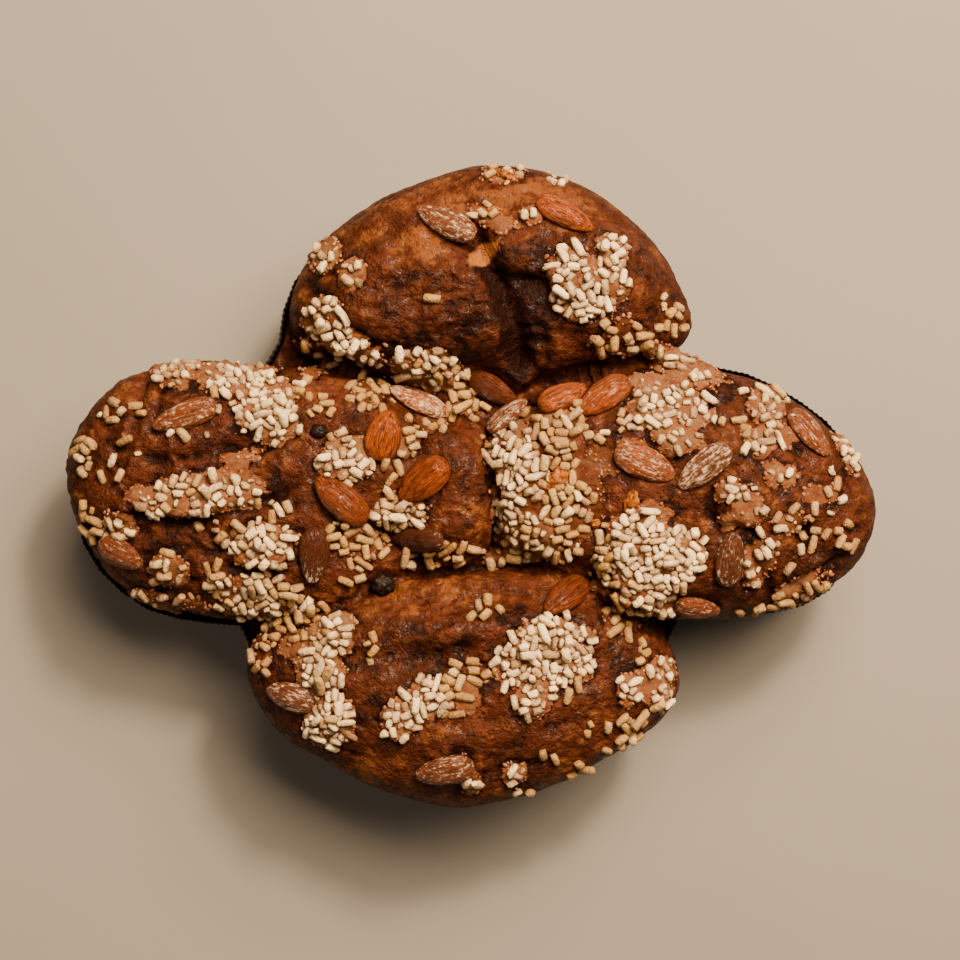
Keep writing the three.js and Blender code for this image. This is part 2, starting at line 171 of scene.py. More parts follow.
# Pearl sugar: centre x and y, half sizes along and across, turn, grains, whiteness from 0 (clear cream) to 1
# (chalk white), layers, and how far the glaze under it spreads, as a share of the heap (0 is none).
HEAPS = (
    # the upper wing
    (39, 78, 9.5, 11, 10, 36, 1.0, 2, 1.0), (53, 88, 6, 5.5, 0, 10, 1.0, 2, 1.0),
    (54, 77, 5.5, 8, 0, 12, 1.0, 1, 1.0), (43.5, 66, 9, 4.5, 0, 12, 0.95, 1, 1.0),
    (35, 116.6, 6, 4, 0, 7, 0.9, 1, 0), (13, 118, 10, 3.5, 0, 9, 0.6, 1, 0.9),
    (4, 103, 6, 4, 0, 5, 0.3, 1, 0.8), (23, 101, 3.5, 2, 0, 3, 0.8, 1, 1.2),
    (-55, 87, 5.5, 6, 30, 7, 0.9, 1, 1.2), (-44, 79, 4, 6, -10, 6, 0.7, 1, 1.2),
    (-55, 63, 8, 8.5, 0, 15, 0.8, 2, 1.0), (-46, 51.5, 12.5, 6, -15, 24, 0.9, 2, 1.0),
    (-14, 70, 1, 1, 0, 1, 0.1, 1, 0), (57, 55, 12, 6.5, 10, 16, 0.3, 1, 1.15),
    (76, 63, 6, 7.5, 0, 12, 0.2, 1, 0), (-65.5, 52.6, 5, 3, 0, 3, 0.0, 1, 1.0),
    (-72, 65, 2, 2, 0, 1, 0.5, 1, 0),
    # where the wing meets the body
    (-15, 44, 14, 7.5, -10, 32, 0.7, 2, 1.1), (-38, 35, 10, 8, 0, 22, 0.2, 1, 0.8),
    (-2, 30, 6, 7, 0, 14, 0.15, 1, 0.8), (82, 45, 15, 3.2, -27, 10, 0.8, 1, 1.3),
    # the left of the body
    (-113, 45, 9, 8, 0, 24, 0.8, 1, 1.15), (-93, 40.5, 10, 4.5, 0, 14, 0.9, 1, 1.3),
    (-82, 43, 7, 4, 0, 9, 0.9, 1, 1.1), (-77, 33, 11, 8, 0, 32, 1.0, 2, 1.05),
    (-73, 23, 8, 8, 0, 20, 1.0, 2, 1.0), (-84, 24, 4, 6, 0, 5, 0.9, 1, 1.0),
    (-93, 30, 5, 6, 60, 4, 0.3, 1, 0), (-106, 19.5, 8, 2, 5, 6, 0.6, 1, 0),
    (-137, 27, 5, 7, 0, 6, 0.3, 1, 0), (-147, 12, 4, 8, 0, 10, 0.4, 1, 0),
    (-133, 9, 7, 12, 0, 7, 0.4, 1, 0), (-145, -14, 4, 8, 10, 9, 0.2, 1, 0),
    (-102, -3.5, 24, 7.5, 6, 46, 0.75, 1, 1.2), (-74, -9.5, 6, 5, 0, 7, 0.3, 1, 0),
    (-93, -17, 10, 6, 0, 9, 0.2, 1, 0), (-77, -23, 12, 9, 0, 30, 0.8, 1, 1.05),
    (-46.5, 10, 11.5, 9, 10, 30, 0.85, 1, 1.0), (-55, 29, 4, 4, 0, 5, 0.2, 1, 0),
    (-62, 33, 4, 8, 20, 5, 0.1, 1, 0), (-134, -17, 6, 5, 0, 8, 0.7, 1, 1.3),
    (-113, -32, 8, 6, 0, 9, 0.5, 1, 1.1), (-124, -46, 10, 5, -15, 12, 0.7, 1, 1.2),
    (-107, -44, 4, 3, 0, 3, 0.1, 1, 0), (-83, -43, 16, 9, -4, 52, 0.55, 1, 1.0),
    (-97, -35, 4, 6, 0, 5, 0.1, 1, 0), (-63, -47, 7, 5, 0, 9, 0.2, 1, 0),
    (-126, 30, 3, 5, 0, 2, 0.2, 1, 0),
    # the middle
    (-24, 16, 7, 5, 20, 11, 0.5, 1, 1.0), (-15, 24, 8, 4, 0, 9, 0.3, 1, 1.0),
    (-29, 4, 4, 5, 0, 4, 0.2, 1, 0), (-27, -10.5, 11, 6.5, 0, 30, 0.7, 1, 1.05),
    (-41, -22, 15, 8, -10, 26, 0.2, 1, 0.8), (-11, -27, 14, 4.5, 6, 15, 0.2, 1, 0),
    (-43, -34, 6, 5, 0, 6, 0.2, 1, 0), (11, -28, 7, 4, 0, 6, 0.4, 1, 0.9), (6, 15, 3, 5, 0, 3, 0.1, 1, 0),
    # the right of the body
    (15, 12, 8, 12, 0, 32, 0.85, 1, 1.15), (34, 21, 14, 9, 0, 34, 0.25, 1, 1.0),
    (14, -8, 5, 10, 0, 15, 0.8, 1, 1.2), (36, -8, 12, 10, 0, 30, 0.3, 1, 0.9),
    (20, -19, 9, 9, 0, 30, 0.6, 1, 1.1), (36, -24, 7, 6, 0, 11, 0.3, 1, 0.9),
    (75.5, 28, 15.5, 9.5, 0, 44, 1.0, 1, 1.1), (58.6, 24, 4, 4, 0, 5, 0.3, 1, 0),
    (80, 16, 8, 4, 0, 6, 0.9, 1, 1.1), (99, 23, 6, 3, 0, 4, 0.2, 1, 0),
    (112.5, 30, 9, 8, 0, 15, 0.7, 1, 0.9), (109, 16, 8, 6, 0, 9, 0.7, 1, 0.9),
    (100, -2.5, 7, 3.5, 0, 9, 0.8, 1, 0.8), (117, 3.5, 5, 3, 0, 3, 0.8, 1, 1.3),
    (64, -21, 13, 11, 0, 44, 0.85, 2, 1.0), (79, -26, 9, 12, 0, 32, 0.9, 2, 1.0),
    (69, -39, 12, 7, 0, 26, 0.8, 1, 1.0), (56, -31, 6, 8, 0, 12, 0.7, 1, 1.0),
    (52, -26, 6, 10, 0, 16, 0.4, 1, 0), (50, -36, 5, 3, 0, 4, 0.2, 1, 0),
    (121, -18, 17, 13, 0, 26, 0.45, 1, 0), (126, -42, 14, 4, 22, 13, 0.3, 1, 1.0),
    (106, -32, 5, 7, 0, 6, 0.6, 1, 0.9), (144, 12, 3, 8, 25, 9, 0.9, 1, 0.9),
    (138, -2, 6, 8, 0, 7, 0.4, 1, 0), (72, -46, 9, 4, 0, 11, 0.6, 1, 0.9),
    (107, -49, 6, 3, 0, 5, 0.4, 1, 0), (143, -20, 3, 8, 0, 5, 0.4, 1, 0),
    # the lower wing
    (30, -58, 16, 8, 0, 42, 1.0, 2, 1.0), (16, -68, 8, 8, 0, 19, 0.9, 1, 1.0),
    (29, -71, 8, 8, 0, 18, 0.95, 2, 1.0), (40, -67, 7, 8, 0, 16, 1.0, 1, 1.0),
    (23.5, -82, 6, 5.5, 0, 11, 0.9, 1, 1.1), (-26, -88, 6, 8, -20, 16, 0.8, 1, 1.15),
    (-15, -80, 8, 7.5, 0, 20, 0.85, 2, 1.1), (-8, -76, 6, 4, 0, 8, 0.5, 1, 1.0),
    (-52, -57, 8, 7, 40, 18, 0.8, 1, 1.2), (-57, -72, 8, 9, 0, 28, 0.85, 1, 1.2),
    (-53, -89, 9, 10, -10, 34, 0.8, 2, 1.15), (-79, -64, 5, 10, 0, 13, 0.15, 1, 0.8),
    (-70, -54, 8, 5, 0, 9, 0.15, 1, 0), (-63, -47, 6, 4, 0, 6, 0.2, 1, 1.2),
    (-37, -62, 2, 6, 0, 5, 0.2, 1, 0), (5, -47, 6, 5, 0, 6, 0.1, 1, 0),
    (3, -70, 8, 5, -10, 8, 0.15, 1, 0.8), (57, -51, 8, 7, 0, 10, 0.1, 1, 1.0),
    (66, -63, 4, 3, 40, 5, 0.25, 1, 0), (73, -71, 4, 5, 0, 9, 0.8, 1, 1.2),
    (60, -78, 4, 4.5, 0, 8, 0.7, 1, 1.2), (73, -81, 4, 5, 0, 10, 0.85, 1, 1.2),
    (60, -90, 3, 3, 0, 5, 0.15, 1, 0), (47, -92, 5, 4, 0, 4, 0.1, 1, 0),
    (30, -104, 4, 3, 0, 3, 0.2, 1, 0), (42, -108, 5, 3, 30, 4, 0.1, 1, 0),
    (59, -97, 12, 3, 42, 9, 0.15, 1, 0), (17, -110, 3, 3, 0, 5, 0.9, 1, 1.5),
    (21, -118, 4, 2, 10, 3, 0.5, 1, 0), (-9, -99, 5, 2, 30, 3, 0.1, 1, 0),
    (0, -111, 3, 3, 0, 2, 0.9, 1, 1.5), (36, -77, 5, 3, 0, 3, 0.1, 1, 0),
    (-8, -84, 3, 6, 0, 4, 0.1, 1, 1.0),
    # loose grains over the film between the two halves of the body
    (30, 4, 13, 11, 0, 24, 0.45, 1, 0),
)

GENEROSITY = (0.78, 0.90)  # this share of the grains is strewn, in clear and in chalky heaps
CHALKY_HEAP = 0.6  # heaps whiter than this are chalky
CHALKY = 0.5  # and so are single grains whiter than this
DIPPED = 0.42  # this share of the lowest grains went under in the glaze, and a third of it of the others
BROKEN = (0.14, 0.30)  # this share is broken small, of clear and of chalky grains
STANDING = 0.16  # and this share stands up instead of lying down
GOLDEN_ANGLE = math.pi * (3 - math.sqrt(5))  # from each grain of a heap to the next, round its middle
LOWEST = 0.64  # share of the grains in the lower layer, where a heap has two
NEIGHBOURS = 10.0  # grains closer than this, middle to middle, can touch
SINK = 0.12  # a grain sinks by no more than this in one round of settling
HEADROOM = 2.0  # a grain that would stand further than this over the solid cake rolled off

BED = 0.8  # the crust ends this far below the widest part of an almond
BANK = 6.0  # and beside it climbs no steeper than this over one half width of the almond
RIM_CRUMBS = 2800  # crumbs along the torn rims of the glaze
PATCH_CRUMBS = 1300  # and finer ones all over it

# Glaze with no sugar on it: centre, half sizes, turn, and how pale it dried.
BARE_GLAZE = (
    ((98, -3), (6, 5), 0, 0.8), ((104, -9), (6.5, 7), 20, 0.9), ((97, -13), (4, 4), 0, 0.6),
    ((33, -4), (17, 22), 0, 0.0), ((132.5, -4), (7, 4.5), 0, 0.2), ((121, -14), (6.5, 5), 0, 0.2),
    ((108.6, -29.3), (6.5, 9), 0, 0.2), ((120, 18), (6, 4), 0, 0.4), ((116, 5.5), (6, 4), 0, 0.4),
    ((125, -38.7), (12, 3), 20, 0.6), ((70, 36), (11, 6), -10, 1.0), ((82, 40), (14, 3.5), -27, 0.9),
    ((60, 14), (6, 5), 0, 0.7), ((-86, 10), (7, 4), 20, 0.6), ((-1, -80), (5, 8), 0, 0.4),
    ((-66, -60), (8, 5), 30, 0.3), ((-104, -46), (8, 3), 0, 0.4), ((12, 98), (8, 3.5), -10, 0.3),
    ((67, -76), (6, 7), 0, 0.35), ((50, 8), (7, 6), 0, 0.1), ((-3, -106), (5, 4), 0, 0.4),
    ((-60, 44), (6, 4), 0, 0.2), ((-72, -47), (6, 3), 20, 0.1), ((48, -39), (6, 3.5), -35, 0.2),
    ((30, 26), (9, 4), 0, 1.0), ((70, -10), (8, 4), 0, 1.0), ((22, -22), (12, 8), 0, 0.7),
)

# Where the skin split and the paler dough shows: centre, half sizes, turn, strength.
SPLITS = (((4.5, 86.5), (6.5, 3.2), 38, 1.6),)

# Where the crust drew up into wrinkles as it cooled: centre, half sizes, turn, strength.
WRINKLED = (
    ((-14, 68), (34, 18), 5, 1.0), ((-110, 0), (46, 46), 0, 0.9), ((-8, -52), (50, 16), 0, 0.8),
    ((20, 52), (12, 12), 0, 0.8), ((110, -20), (34, 30), 0, 0.7), ((0, -2), (16, 24), 0, 0.7),
    ((-20, -98), (40, 14), 0, 0.4),
)

# Where the crust is lighter (above 0) or darker (below 0), partly the oven's browning and partly painted
# light on lit slopes and painted shade on slopes turned from the light: centre, half sizes, turn, strength.
TONES = (
    ((-28, 92), (36, 18), 14, 0.95), ((40, 104), (34, 14), -25, 0.7), ((8, 106), (22, 12), 0, 0.5),
    ((-14, 66), (28, 15), 0, -0.65), ((20, 62), (12, 22), -15, -1.2), ((4, 93), (6, 6), 40, 0.9),
    ((56, 92), (20, 20), -30, -0.25), ((-20, -41), (42, 7), 6, 0.8), ((38, -40), (18, 8), 0, 0.55),
    ((-5, -62), (40, 12), 0, -0.45), ((0, -96), (46, 12), 0, -0.1), ((56, -100), (24, 12), 35, 0.3),
    ((-125, 28), (6, 18), 6, 0.55), ((-50, 4), (24, 20), 0, 0.1), ((-3, 6), (10, 14), 0, -0.1),
    ((0, -12), (10, 14), 0, 0.2), ((40, -4), (18, 14), 0, 0.55), ((-110, -26), (24, 9), 0, -0.5),
    ((120, 26), (26, 12), -25, 0.1), ((128, -34), (22, 12), 30, -0.5), ((-100, 14), (30, 8), 0, -0.2),
    ((95, 20), (12, 10), 0, 0.5), ((30, -112), (34, 10), 12, 0.45), ((-40, -106), (22, 12), -30, 0.35),
)

# Each almond in turn: darkness, partly the skin's own and partly painted shade on almonds that lie in shade,
# frosting all over, more frosting at the tip (above 0) or at the back (below 0), and strength of its ridges.
ALMOND_LOOKS = (
    (0.60, 0.50, 0.0, 1.0), (0.05, 0.16, 0.0, 1.0), (0.62, 0.44, 0.0, 1.0), (0.62, 0.34, 0.0, 0.8),
    (1.00, 0.12, 0.55, 0.8), (0.62, 0.05, 0.0, 0.9), (0.05, 0.04, 0.0, 1.1), (0.35, 0.04, 0.0, 1.5),
    (0.05, 0.60, 0.0, 0.9), (1.00, 0.08, -0.5, 0.8), (0.85, 0.05, 0.0, 0.8), (0.55, 0.55, 0.0, 0.9),
    (0.10, 0.22, 0.0, 1.2), (0.15, 0.28, 0.0, 0.9), (0.25, 0.46, 0.0, 1.1), (0.75, 0.58, 0.0, 1.0),
    (0.50, 0.42, 0.0, 1.0), (0.95, 0.40, 0.0, 1.0), (0.60, 0.40, 0.0, 0.8), (0.68, 0.00, 0.0, 0.7),
    (0.80, 0.50, 0.0, 1.2), (0.75, 0.45, 0.0, 1.0),
)

# Flat bits of caramelised crumb: where they lie, their half sizes and turn.
CARAMEL = (
    ((33, 2.6), (5.6, 3.2), 4), ((60.5, -6.2), (2.6, 4.6), -8), ((9.6, 102.4), (2.6, 1.8), 0),
    ((14, 117), (4.0, 1.6), -12), ((60, -44), (2.4, 2.6), 0), ((47.5, -14.5), (1.6, 2.0), 0),
)

# ---- Sizes and colours that a user would change ----------------------------------------------------------


def length(name, description, default, **limits):
    return FloatProperty(name=name, description=description, default=default, subtype="DISTANCE",
                         unit="LENGTH", precision=5, **limits)


def colour(name, description, default):
    return FloatVectorProperty(name=name, description=description, default=default, subtype="COLOR", size=3,
                               min=0.0, max=1.0)


class ColombaSizes(bpy.types.PropertyGroup):
    crust_grid: length("Crust grid", "Edge of the crust's finest facets", 0.00108, min=0.0008, max=0.004)
    glaze_thickness: length("Glaze thickness", "How far the glaze stands over the crust", 0.0011, min=0.0)
    grain_radius: length("Grain radius", "Half the thickness of a grain of pearl sugar", 0.00185, min=0.0005)
    pleat_pitch: length("Pleat pitch", "From one pleat of the paper mould to the next", 0.0024, min=0.001)
    pleat_depth: length("Pleat depth", "From the crest of a pleat to its valley", 0.00035, min=0.0)
    camera_height: length("Camera height", "From the table up to the lens", 0.95, min=0.3)
    seed: IntProperty(name="Seed", description="Starts every random draw", default=11, min=0)


class ColombaColours(bpy.types.PropertyGroup):
    burnt: colour("Burnt crust", "The darkest brown of the crust", (0.011, 0.0023, 0.0008))
    brown: colour("Brown crust", "The crust's main colour", (0.047, 0.0103, 0.0027))
    ruddy: colour("Ruddy crust", "The crust where it reddened", (0.084, 0.0185, 0.0075))
    golden: colour("Golden crust", "Where the crust is thinly browned", (0.150, 0.043, 0.0092))
    split: colour("Split crust", "Paler dough where the skin split", (0.26, 0.088, 0.020))
    glaze: colour("Glaze", "Almond glaze, dried to a dull tan", (0.115, 0.038, 0.0130))
    pale_glaze: colour("Pale glaze", "Glaze under the heaps, whitened by their dust", (0.150, 0.068, 0.029))
    glaze_rim: colour("Glaze rim", "The thin torn rim of the glaze", (0.165, 0.044, 0.0110))
    chalk: colour("Chalk sugar", "Opaque white pearl sugar", (0.99, 0.73, 0.41))
    cream: colour("Cream sugar", "Pearl sugar that took up butter", (0.40, 0.215, 0.058))
    almond: colour("Almond skin", "The brown skin of the almonds", (0.31, 0.060, 0.0070))
    # The dark almond skin also serves as the painted shade on almonds that lie in shade.
    almond_dark: colour("Dark almond skin", "The furrows of the almonds' skin", (0.042, 0.0098, 0.0038))
    raisin: colour("Raisin", "The raisins", (0.005, 0.0028, 0.0024))
    paper: colour("Paper", "The dark baking paper of the mould", (0.016, 0.008, 0.005))
    table: colour("Table", "The plain pale floor", (0.235, 0.205, 0.175))


def sizes():
    return bpy.context.scene.colomba_sizes


def colours():
    return bpy.context.scene.colomba_colours


# ---- Small helpers ---------------------------------------------------------------------------------------


def smooth_step(low, high, value):
    share = np.clip((value - low) / (high - low), 0.0, 1.0)
    return share * share * (3.0 - 2.0 * share)


def turned(x, y, centre, turn):
    """x and y as seen from centre, along axes turned by that many degrees."""
    c = math.cos(math.radians(turn))
    s = math.sin(math.radians(turn))
    dx, dy = x - centre[0], y - centre[1]
    return dx * c + dy * s, dy * c - dx * s


def turned_back(u, v, centre, turn):
    """The place that turned gives as u and v."""
    c = math.cos(math.radians(turn))
    s = math.sin(math.radians(turn))
    return centre[0] + u * c - v * s, centre[1] + u * s + v * c


def picked(geometry, kind):
    """The vertices or the edges among what a bmesh operator gave back."""
    return [element for element in geometry if isinstance(element, kind)]


def unit_mesh(create, **settings):
    """A ball of radius 1, to be shaped and added again and again, and its vertices."""
    bm = bmesh.new()
    create(bm, radius=1.0, **settings)
    ball = bpy.data.meshes.new("unit")
    bm.to_mesh(ball)
    bm.free()
    return ball, vertex_places(ball)


def rolled(direction, rng):
    """A matrix that lays Z along a direction, rolled at random about it."""
    roll = Matrix.Rotation(rng.uniform(0, math.tau), 3, "Z").to_quaternion()
    return np.array((Vector(direction).to_track_quat("Z", "X") @ roll).to_matrix())


def toppings():
    """The names of the almonds and raisins in the frame."""
    return [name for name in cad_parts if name.startswith(("almond", "raisin"))]


def mesh_object(name, bm):
    bmesh.ops.recalc_face_normals(bm, faces=bm.faces)
    mesh = bpy.data.meshes.new(name)
    bm.to_mesh(mesh)
    bm.free()
    mesh.shade_smooth()
    made = bpy.data.objects.new(name, mesh)
    bpy.context.scene.collection.objects.link(made)
    return made


def finish_piece(piece, slot, material, *nodes):
    piece.data.materials.clear()
    piece.data.materials.append(material)
    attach(piece, "root")
    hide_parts(*nodes)


def write_attribute(mesh, name, values):
    layer = mesh.attributes.new(name, "FLOAT", "POINT")
    layer.data.foreach_set("value", np.asarray(values, dtype=np.float32))


def vertex_places(mesh):
    places = np.empty(len(mesh.vertices) * 3, dtype=np.float64)
    mesh.vertices.foreach_get("co", places)
    return places.reshape(-1, 3)


def vertex_normals(mesh):
    normals = np.empty(len(mesh.vertices) * 3, dtype=np.float32)
    mesh.vertex_normals.foreach_get("vector", normals)
    return normals.reshape(-1, 3).astype(np.float64)


def noise_over(places, wave, offset=0.0):
    """Soft noise from -1 to 1 at each place, with lumps of about wave millimetres."""
    shift = Vector((offset, 1.7 * offset, -offset))
    scale = 1.0 / wave
    return np.array([noise.noise(Vector(p) * scale + shift) for p in places])


# ---- The dough -------------------------------------------------------------------------------------------


def reach(outline, angle):
    """The outline's radius at an angle, on a smooth curve through its stated radii."""
    degrees = math.degrees(angle) % 360
    count = len(outline)
    after = next((i for i, (stated, _) in enumerate(outline) if stated > degrees), count)
    around = []
    for i in range(after - 2, after + 2):
        laps, place = divmod(i, count)
        around.append((outline[place][0] + 360 * laps, outline[place][1]))
    (before, far_back), (start, near), (end, far), (beyond, far_on) = around
    share = (degrees - start) / (end - start)
    leaving = (far - far_back) / (end - before) * (end - start)
    arriving = (far_on - near) / (beyond - start) * (end - start)
    square, cube = share * share, share**3
    return (near * (2 * cube - 3 * square + 1) + leaving * (cube - 2 * square + share)
            + far * (3 * square - 2 * cube) + arriving * (cube - square))


def folds(x, y):
    long_wave = math.sin(0.075 * x + 0.21 * y + 1.1) * math.cos(0.05 * x - 0.11 * y)
    short_wave = math.sin(0.31 * x - 0.17 * y) * math.sin(0.13 * x + 0.29 * y + 0.7)
    return FOLD * (1.3 * long_wave + 0.7 * short_wave)


def swell(bm, place):
    made = bmesh.ops.create_icosphere(bm, subdivisions=5, radius=1.0)
    for vertex in made["verts"]:
        x, y, z = vertex.co
        outwards = min(1.0, math.hypot(x, y)) ** SQUARENESS
        upwards = math.copysign(abs(z) ** SQUARENESS, z)
        vertex.co = Vector(place(math.atan2(y, x), outwards, upwards)) * MM


def add_loaf(bm, centre, rise, outline):
    def place(angle, outwards, upwards):
        radius = reach(outline, angle) * outwards
        x = centre[0] + radius * math.cos(angle)
        y = centre[1] + radius * math.sin(angle)
        height = (rise + folds(x, y)) * upwards if upwards > 0 else DEPTH * upwards
        return x, y, MIDDLE + height

    swell(bm, place)


def add_swelling(bm, centre, size, turn):
    def place(angle, outwards, upwards):
        u = size[0] * outwards * math.cos(angle)
        v = size[1] * outwards * math.sin(angle)
        x, y = turned_back(u, v, centre, turn)
        return x, y, centre[2] + (size[2] + folds(x, y)) * upwards

    swell(bm, place)


def rim_loop():
    """The mould's outline on the table, as points in order, read from its node."""
    bm = bmesh.new()
    bm.from_mesh(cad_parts["paper_mould"].data)
    bmesh.ops.remove_doubles(bm, verts=bm.verts, dist=1e-6)
    on_table = [e for e in bm.edges if max(v.co.z for v in e.verts) < 1e-5 and e.calc_face_angle(0) > 0.7]
    neighbours = {}
    for edge in on_table:
        first, last = edge.verts
        neighbours.setdefault(first, []).append(last)
        neighbours.setdefault(last, []).append(first)
    start = max(neighbours, key=lambda v: v.co.x)
    loop, previous, current = [start], None, start
    while True:
        following = next(v for v in neighbours[current] if v is not previous)
        if following is start:
            break
        loop.append(following)
        previous, current = current, following
    points = np.array([(v.co.x, v.co.y) for v in loop]) / MM
    bm.free()
    area = np.sum(points[:, 0] * np.roll(points[:, 1], -1) - np.roll(points[:, 0], -1) * points[:, 1])
    return points if area > 0 else points[::-1]


def resampled(points, count):
    """A closed loop as that many evenly spaced points, and the outward direction at each."""
    steps = np.linalg.norm(np.roll(points, -1, axis=0) - points, axis=1)
    travelled = np.concatenate(([0.0], np.cumsum(steps)))
    closed = np.vstack((points, points[:1]))
    wanted = np.linspace(0.0, travelled[-1], count, endpoint=False)
    even = np.column_stack([np.interp(wanted, travelled, closed[:, axis]) for axis in (0, 1)])
    along = np.roll(even, -2, axis=0) - np.roll(even, 2, axis=0)
    along /= np.linalg.norm(along, axis=1)[:, None]
    return even, np.column_stack((along[:, 1], -along[:, 0]))


def add_foot(bm):
    """The dough that fills the mould from wall to wall."""
    points, outwards = resampled(rim_loop(), RIM_STRETCHES)
    ring = [bm.verts.new(Vector((x, y, FOOT_INSET)) * MM) for x, y in points - outwards * FOOT_INSET]
    raised = bmesh.ops.extrude_face_region(bm, geom=[bm.faces.new(ring)])
    height = (FOOT_TOP - FOOT_INSET) * MM
    bmesh.ops.translate(bm, verts=picked(raised["geom"], bmesh.types.BMVert), vec=(0, 0, height))


def raised_dough():
    """The loaves grown together, as one fine skin."""
    bm = bmesh.new()
    add_foot(bm)
    for loaf in LOAVES:
        add_loaf(bm, *loaf)
    for swelling in SWELLINGS:
        add_swelling(bm, *swelling)
    rough = mesh_object("dough", bm)
    joiner = rough.modifiers.new("Grow together", "REMESH")
    joiner.mode = "VOXEL"
    joiner.voxel_size = sizes().crust_grid
    softener = rough.modifiers.new("Soften", "SMOOTH")
    softener.factor = 0.5
    softener.iterations = 5
    depsgraph = bpy.context.evaluated_depsgraph_get()
    skin = bpy.data.meshes.new_from_object(rough.evaluated_get(depsgraph))
    bpy.data.objects.remove(rough)
    return skin


def close_below(skin):
    """Cuts the fine skin off inside the mould, and closes it with a plain foot."""
    bm = bmesh.new()
    bm.from_mesh(skin)
    bmesh.ops.bisect_plane(bm, geom=bm.verts[:] + bm.edges[:] + bm.faces[:], plane_co=(0, 0, CUT * MM),
                           plane_no=(0, 0, 1), clear_inner=True)
    open_edges = [edge for edge in bm.edges if edge.is_boundary]
    lowered = bmesh.ops.extrude_edge_only(bm, edges=open_edges)["geom"]
    bmesh.ops.translate(bm, verts=picked(lowered, bmesh.types.BMVert), vec=(0, 0, (FOOT - CUT) * MM))
    bmesh.ops.contextual_create(bm, geom=picked(lowered, bmesh.types.BMEdge))
    bmesh.ops.recalc_face_normals(bm, faces=bm.faces)
    bm.to_mesh(skin)
    bm.free()
    return skin


def gap_to_stretch(x, y, start, end):
    """The way from the nearest place on a straight stretch to each x and y."""
    dx, dy = end[0] - start[0], end[1] - start[1]
    along = (x - start[0]) * dx + (y - start[1]) * dy
    share = np.clip(along / (dx * dx + dy * dy), 0, 1)
    return x - start[0] - share * dx, y - start[1] - share * dy


def outside_rim(x, y, loop):
    """How far each place lies outside a closed loop (below 0 inside it), and the outward direction there."""
    nearest = np.full(len(x), 1e9)
    away = np.zeros((len(x), 2))
    inside = np.zeros(len(x), dtype=bool)
    for (x0, y0), (x1, y1) in zip(loop, np.roll(loop, -1, axis=0)):
        gap_x, gap_y = gap_to_stretch(x, y, (x0, y0), (x1, y1))
        distance = np.hypot(gap_x, gap_y)
        closer = distance < nearest
        nearest[closer] = distance[closer]
        away[closer] = np.column_stack((gap_x, gap_y))[closer]
        crosses = (y0 > y) != (y1 > y)
        inside ^= crosses & (x < x0 + (y - y0) * (x1 - x0) / ((y1 - y0) or 1e-12))
    signed = np.where(inside, -nearest, nearest)
    return signed, away / np.maximum(nearest, 1e-9)[:, None] * np.where(inside, -1, 1)[:, None]


def tuck_into_mould(skin):
    """Below the mould's rim the dough stays inside it, and above it swells over the edge."""
    places = vertex_places(skin) / MM
    low = np.nonzero(places[:, 2] < RIM_HEIGHT + 2.5)[0]
    x, y, z = places[low].T
    signed, outwards = outside_rim(x, y, resampled(rim_loop(), RIM_STRETCHES)[0])
    allowed = -PAPER_ROOM + 8.0 * smooth_step(RIM_HEIGHT - 0.3, RIM_HEIGHT + 2.5, z)
    push = np.maximum(signed - allowed, 0.0)
    places[low, :2] -= outwards * push[:, None]
    skin.vertices.foreach_set("co", (places * MM).ravel())
    skin.update()


def furrow_depth(x, y):
    """How deep the furrows run at each place, in millimetres."""
    depth = np.zeros_like(x)
    for course, width, deepest in FURROWS:
        nearest = np.full_like(x, 1e9)
        for start, end in zip(course, course[1:]):
            nearest = np.minimum(nearest, np.hypot(*gap_to_stretch(x, y, start, end)))
        depth = np.maximum(depth, deepest * np.exp(-((nearest / width) ** 2)))
    return depth


def glaze_patches():
    """The glaze under each heap, and the bare patches: centre, half sizes, turn and paleness."""
    for x, y, along, across, turn, _, white, _, spread in HEAPS:
        if spread > 0:
            wide = spread * (0.74 + 0.18 * white)
            size = ((along + 1.0) * wide, (across + 1.0) * wide)
            yield (x, y), size, turn, smooth_step(0.3, 0.8, white)
    yield from BARE_GLAZE


def glaze_cover(x, y, ragged):
    """How far each place lies under glaze, the band round its torn edge where the crust sinks and gets a
    painted shadow, and its paleness.
    """
    margin = np.full_like(x, -99.0)
    pale = np.zeros_like(x)
    for centre, size, turn, paleness in glaze_patches():
        u, v = turned(x, y, centre, turn)
        inside = 1.0 - np.hypot(u / size[0], v / size[1])
        margin = np.maximum(margin, inside * min(size))
        pale = np.maximum(pale, paleness * smooth_step(-0.10, 0.22, inside + 0.12 * ragged))
    margin += 2.6 * ragged
    cover = smooth_step(0.0, 1.1, margin)
    return cover, smooth_step(-2.2, 0.0, margin) * (1 - cover), pale


def make_room(points):
    """Presses the crust down where it would hide an almond or a raisin from above."""
    for name in toppings():
        middle, half, axes = solid_frame(name)
        spread = (axes.T * half**2) @ axes
        seen_from_above = np.linalg.inv(spread[:2, :2])
        away = points[:, :2] - middle[:2]
        half_widths_out = np.sqrt(np.sum((away @ seen_from_above) * away, axis=1))
        level = middle[2] + away @ (seen_from_above @ spread[:2, 2])
        allowed = level - BED + BANK * np.maximum(half_widths_out - 0.9, 0.0)
        too_high = np.maximum(points[:, 2] - allowed, 0.0)
        points[:, 2] -= smooth_step(2.3, 1.3, half_widths_out) * too_high


def zone_over(x, y, zones):
    """The sum of soft zones, each a centre, half sizes, turn and strength."""
    total = np.zeros_like(x)
    for centre, size, turn, strength in zones:
        u, v = turned(x, y, centre, turn)
        total += strength * np.exp(-((u / size[0]) ** 2 + (v / size[1]) ** 2))
    return total


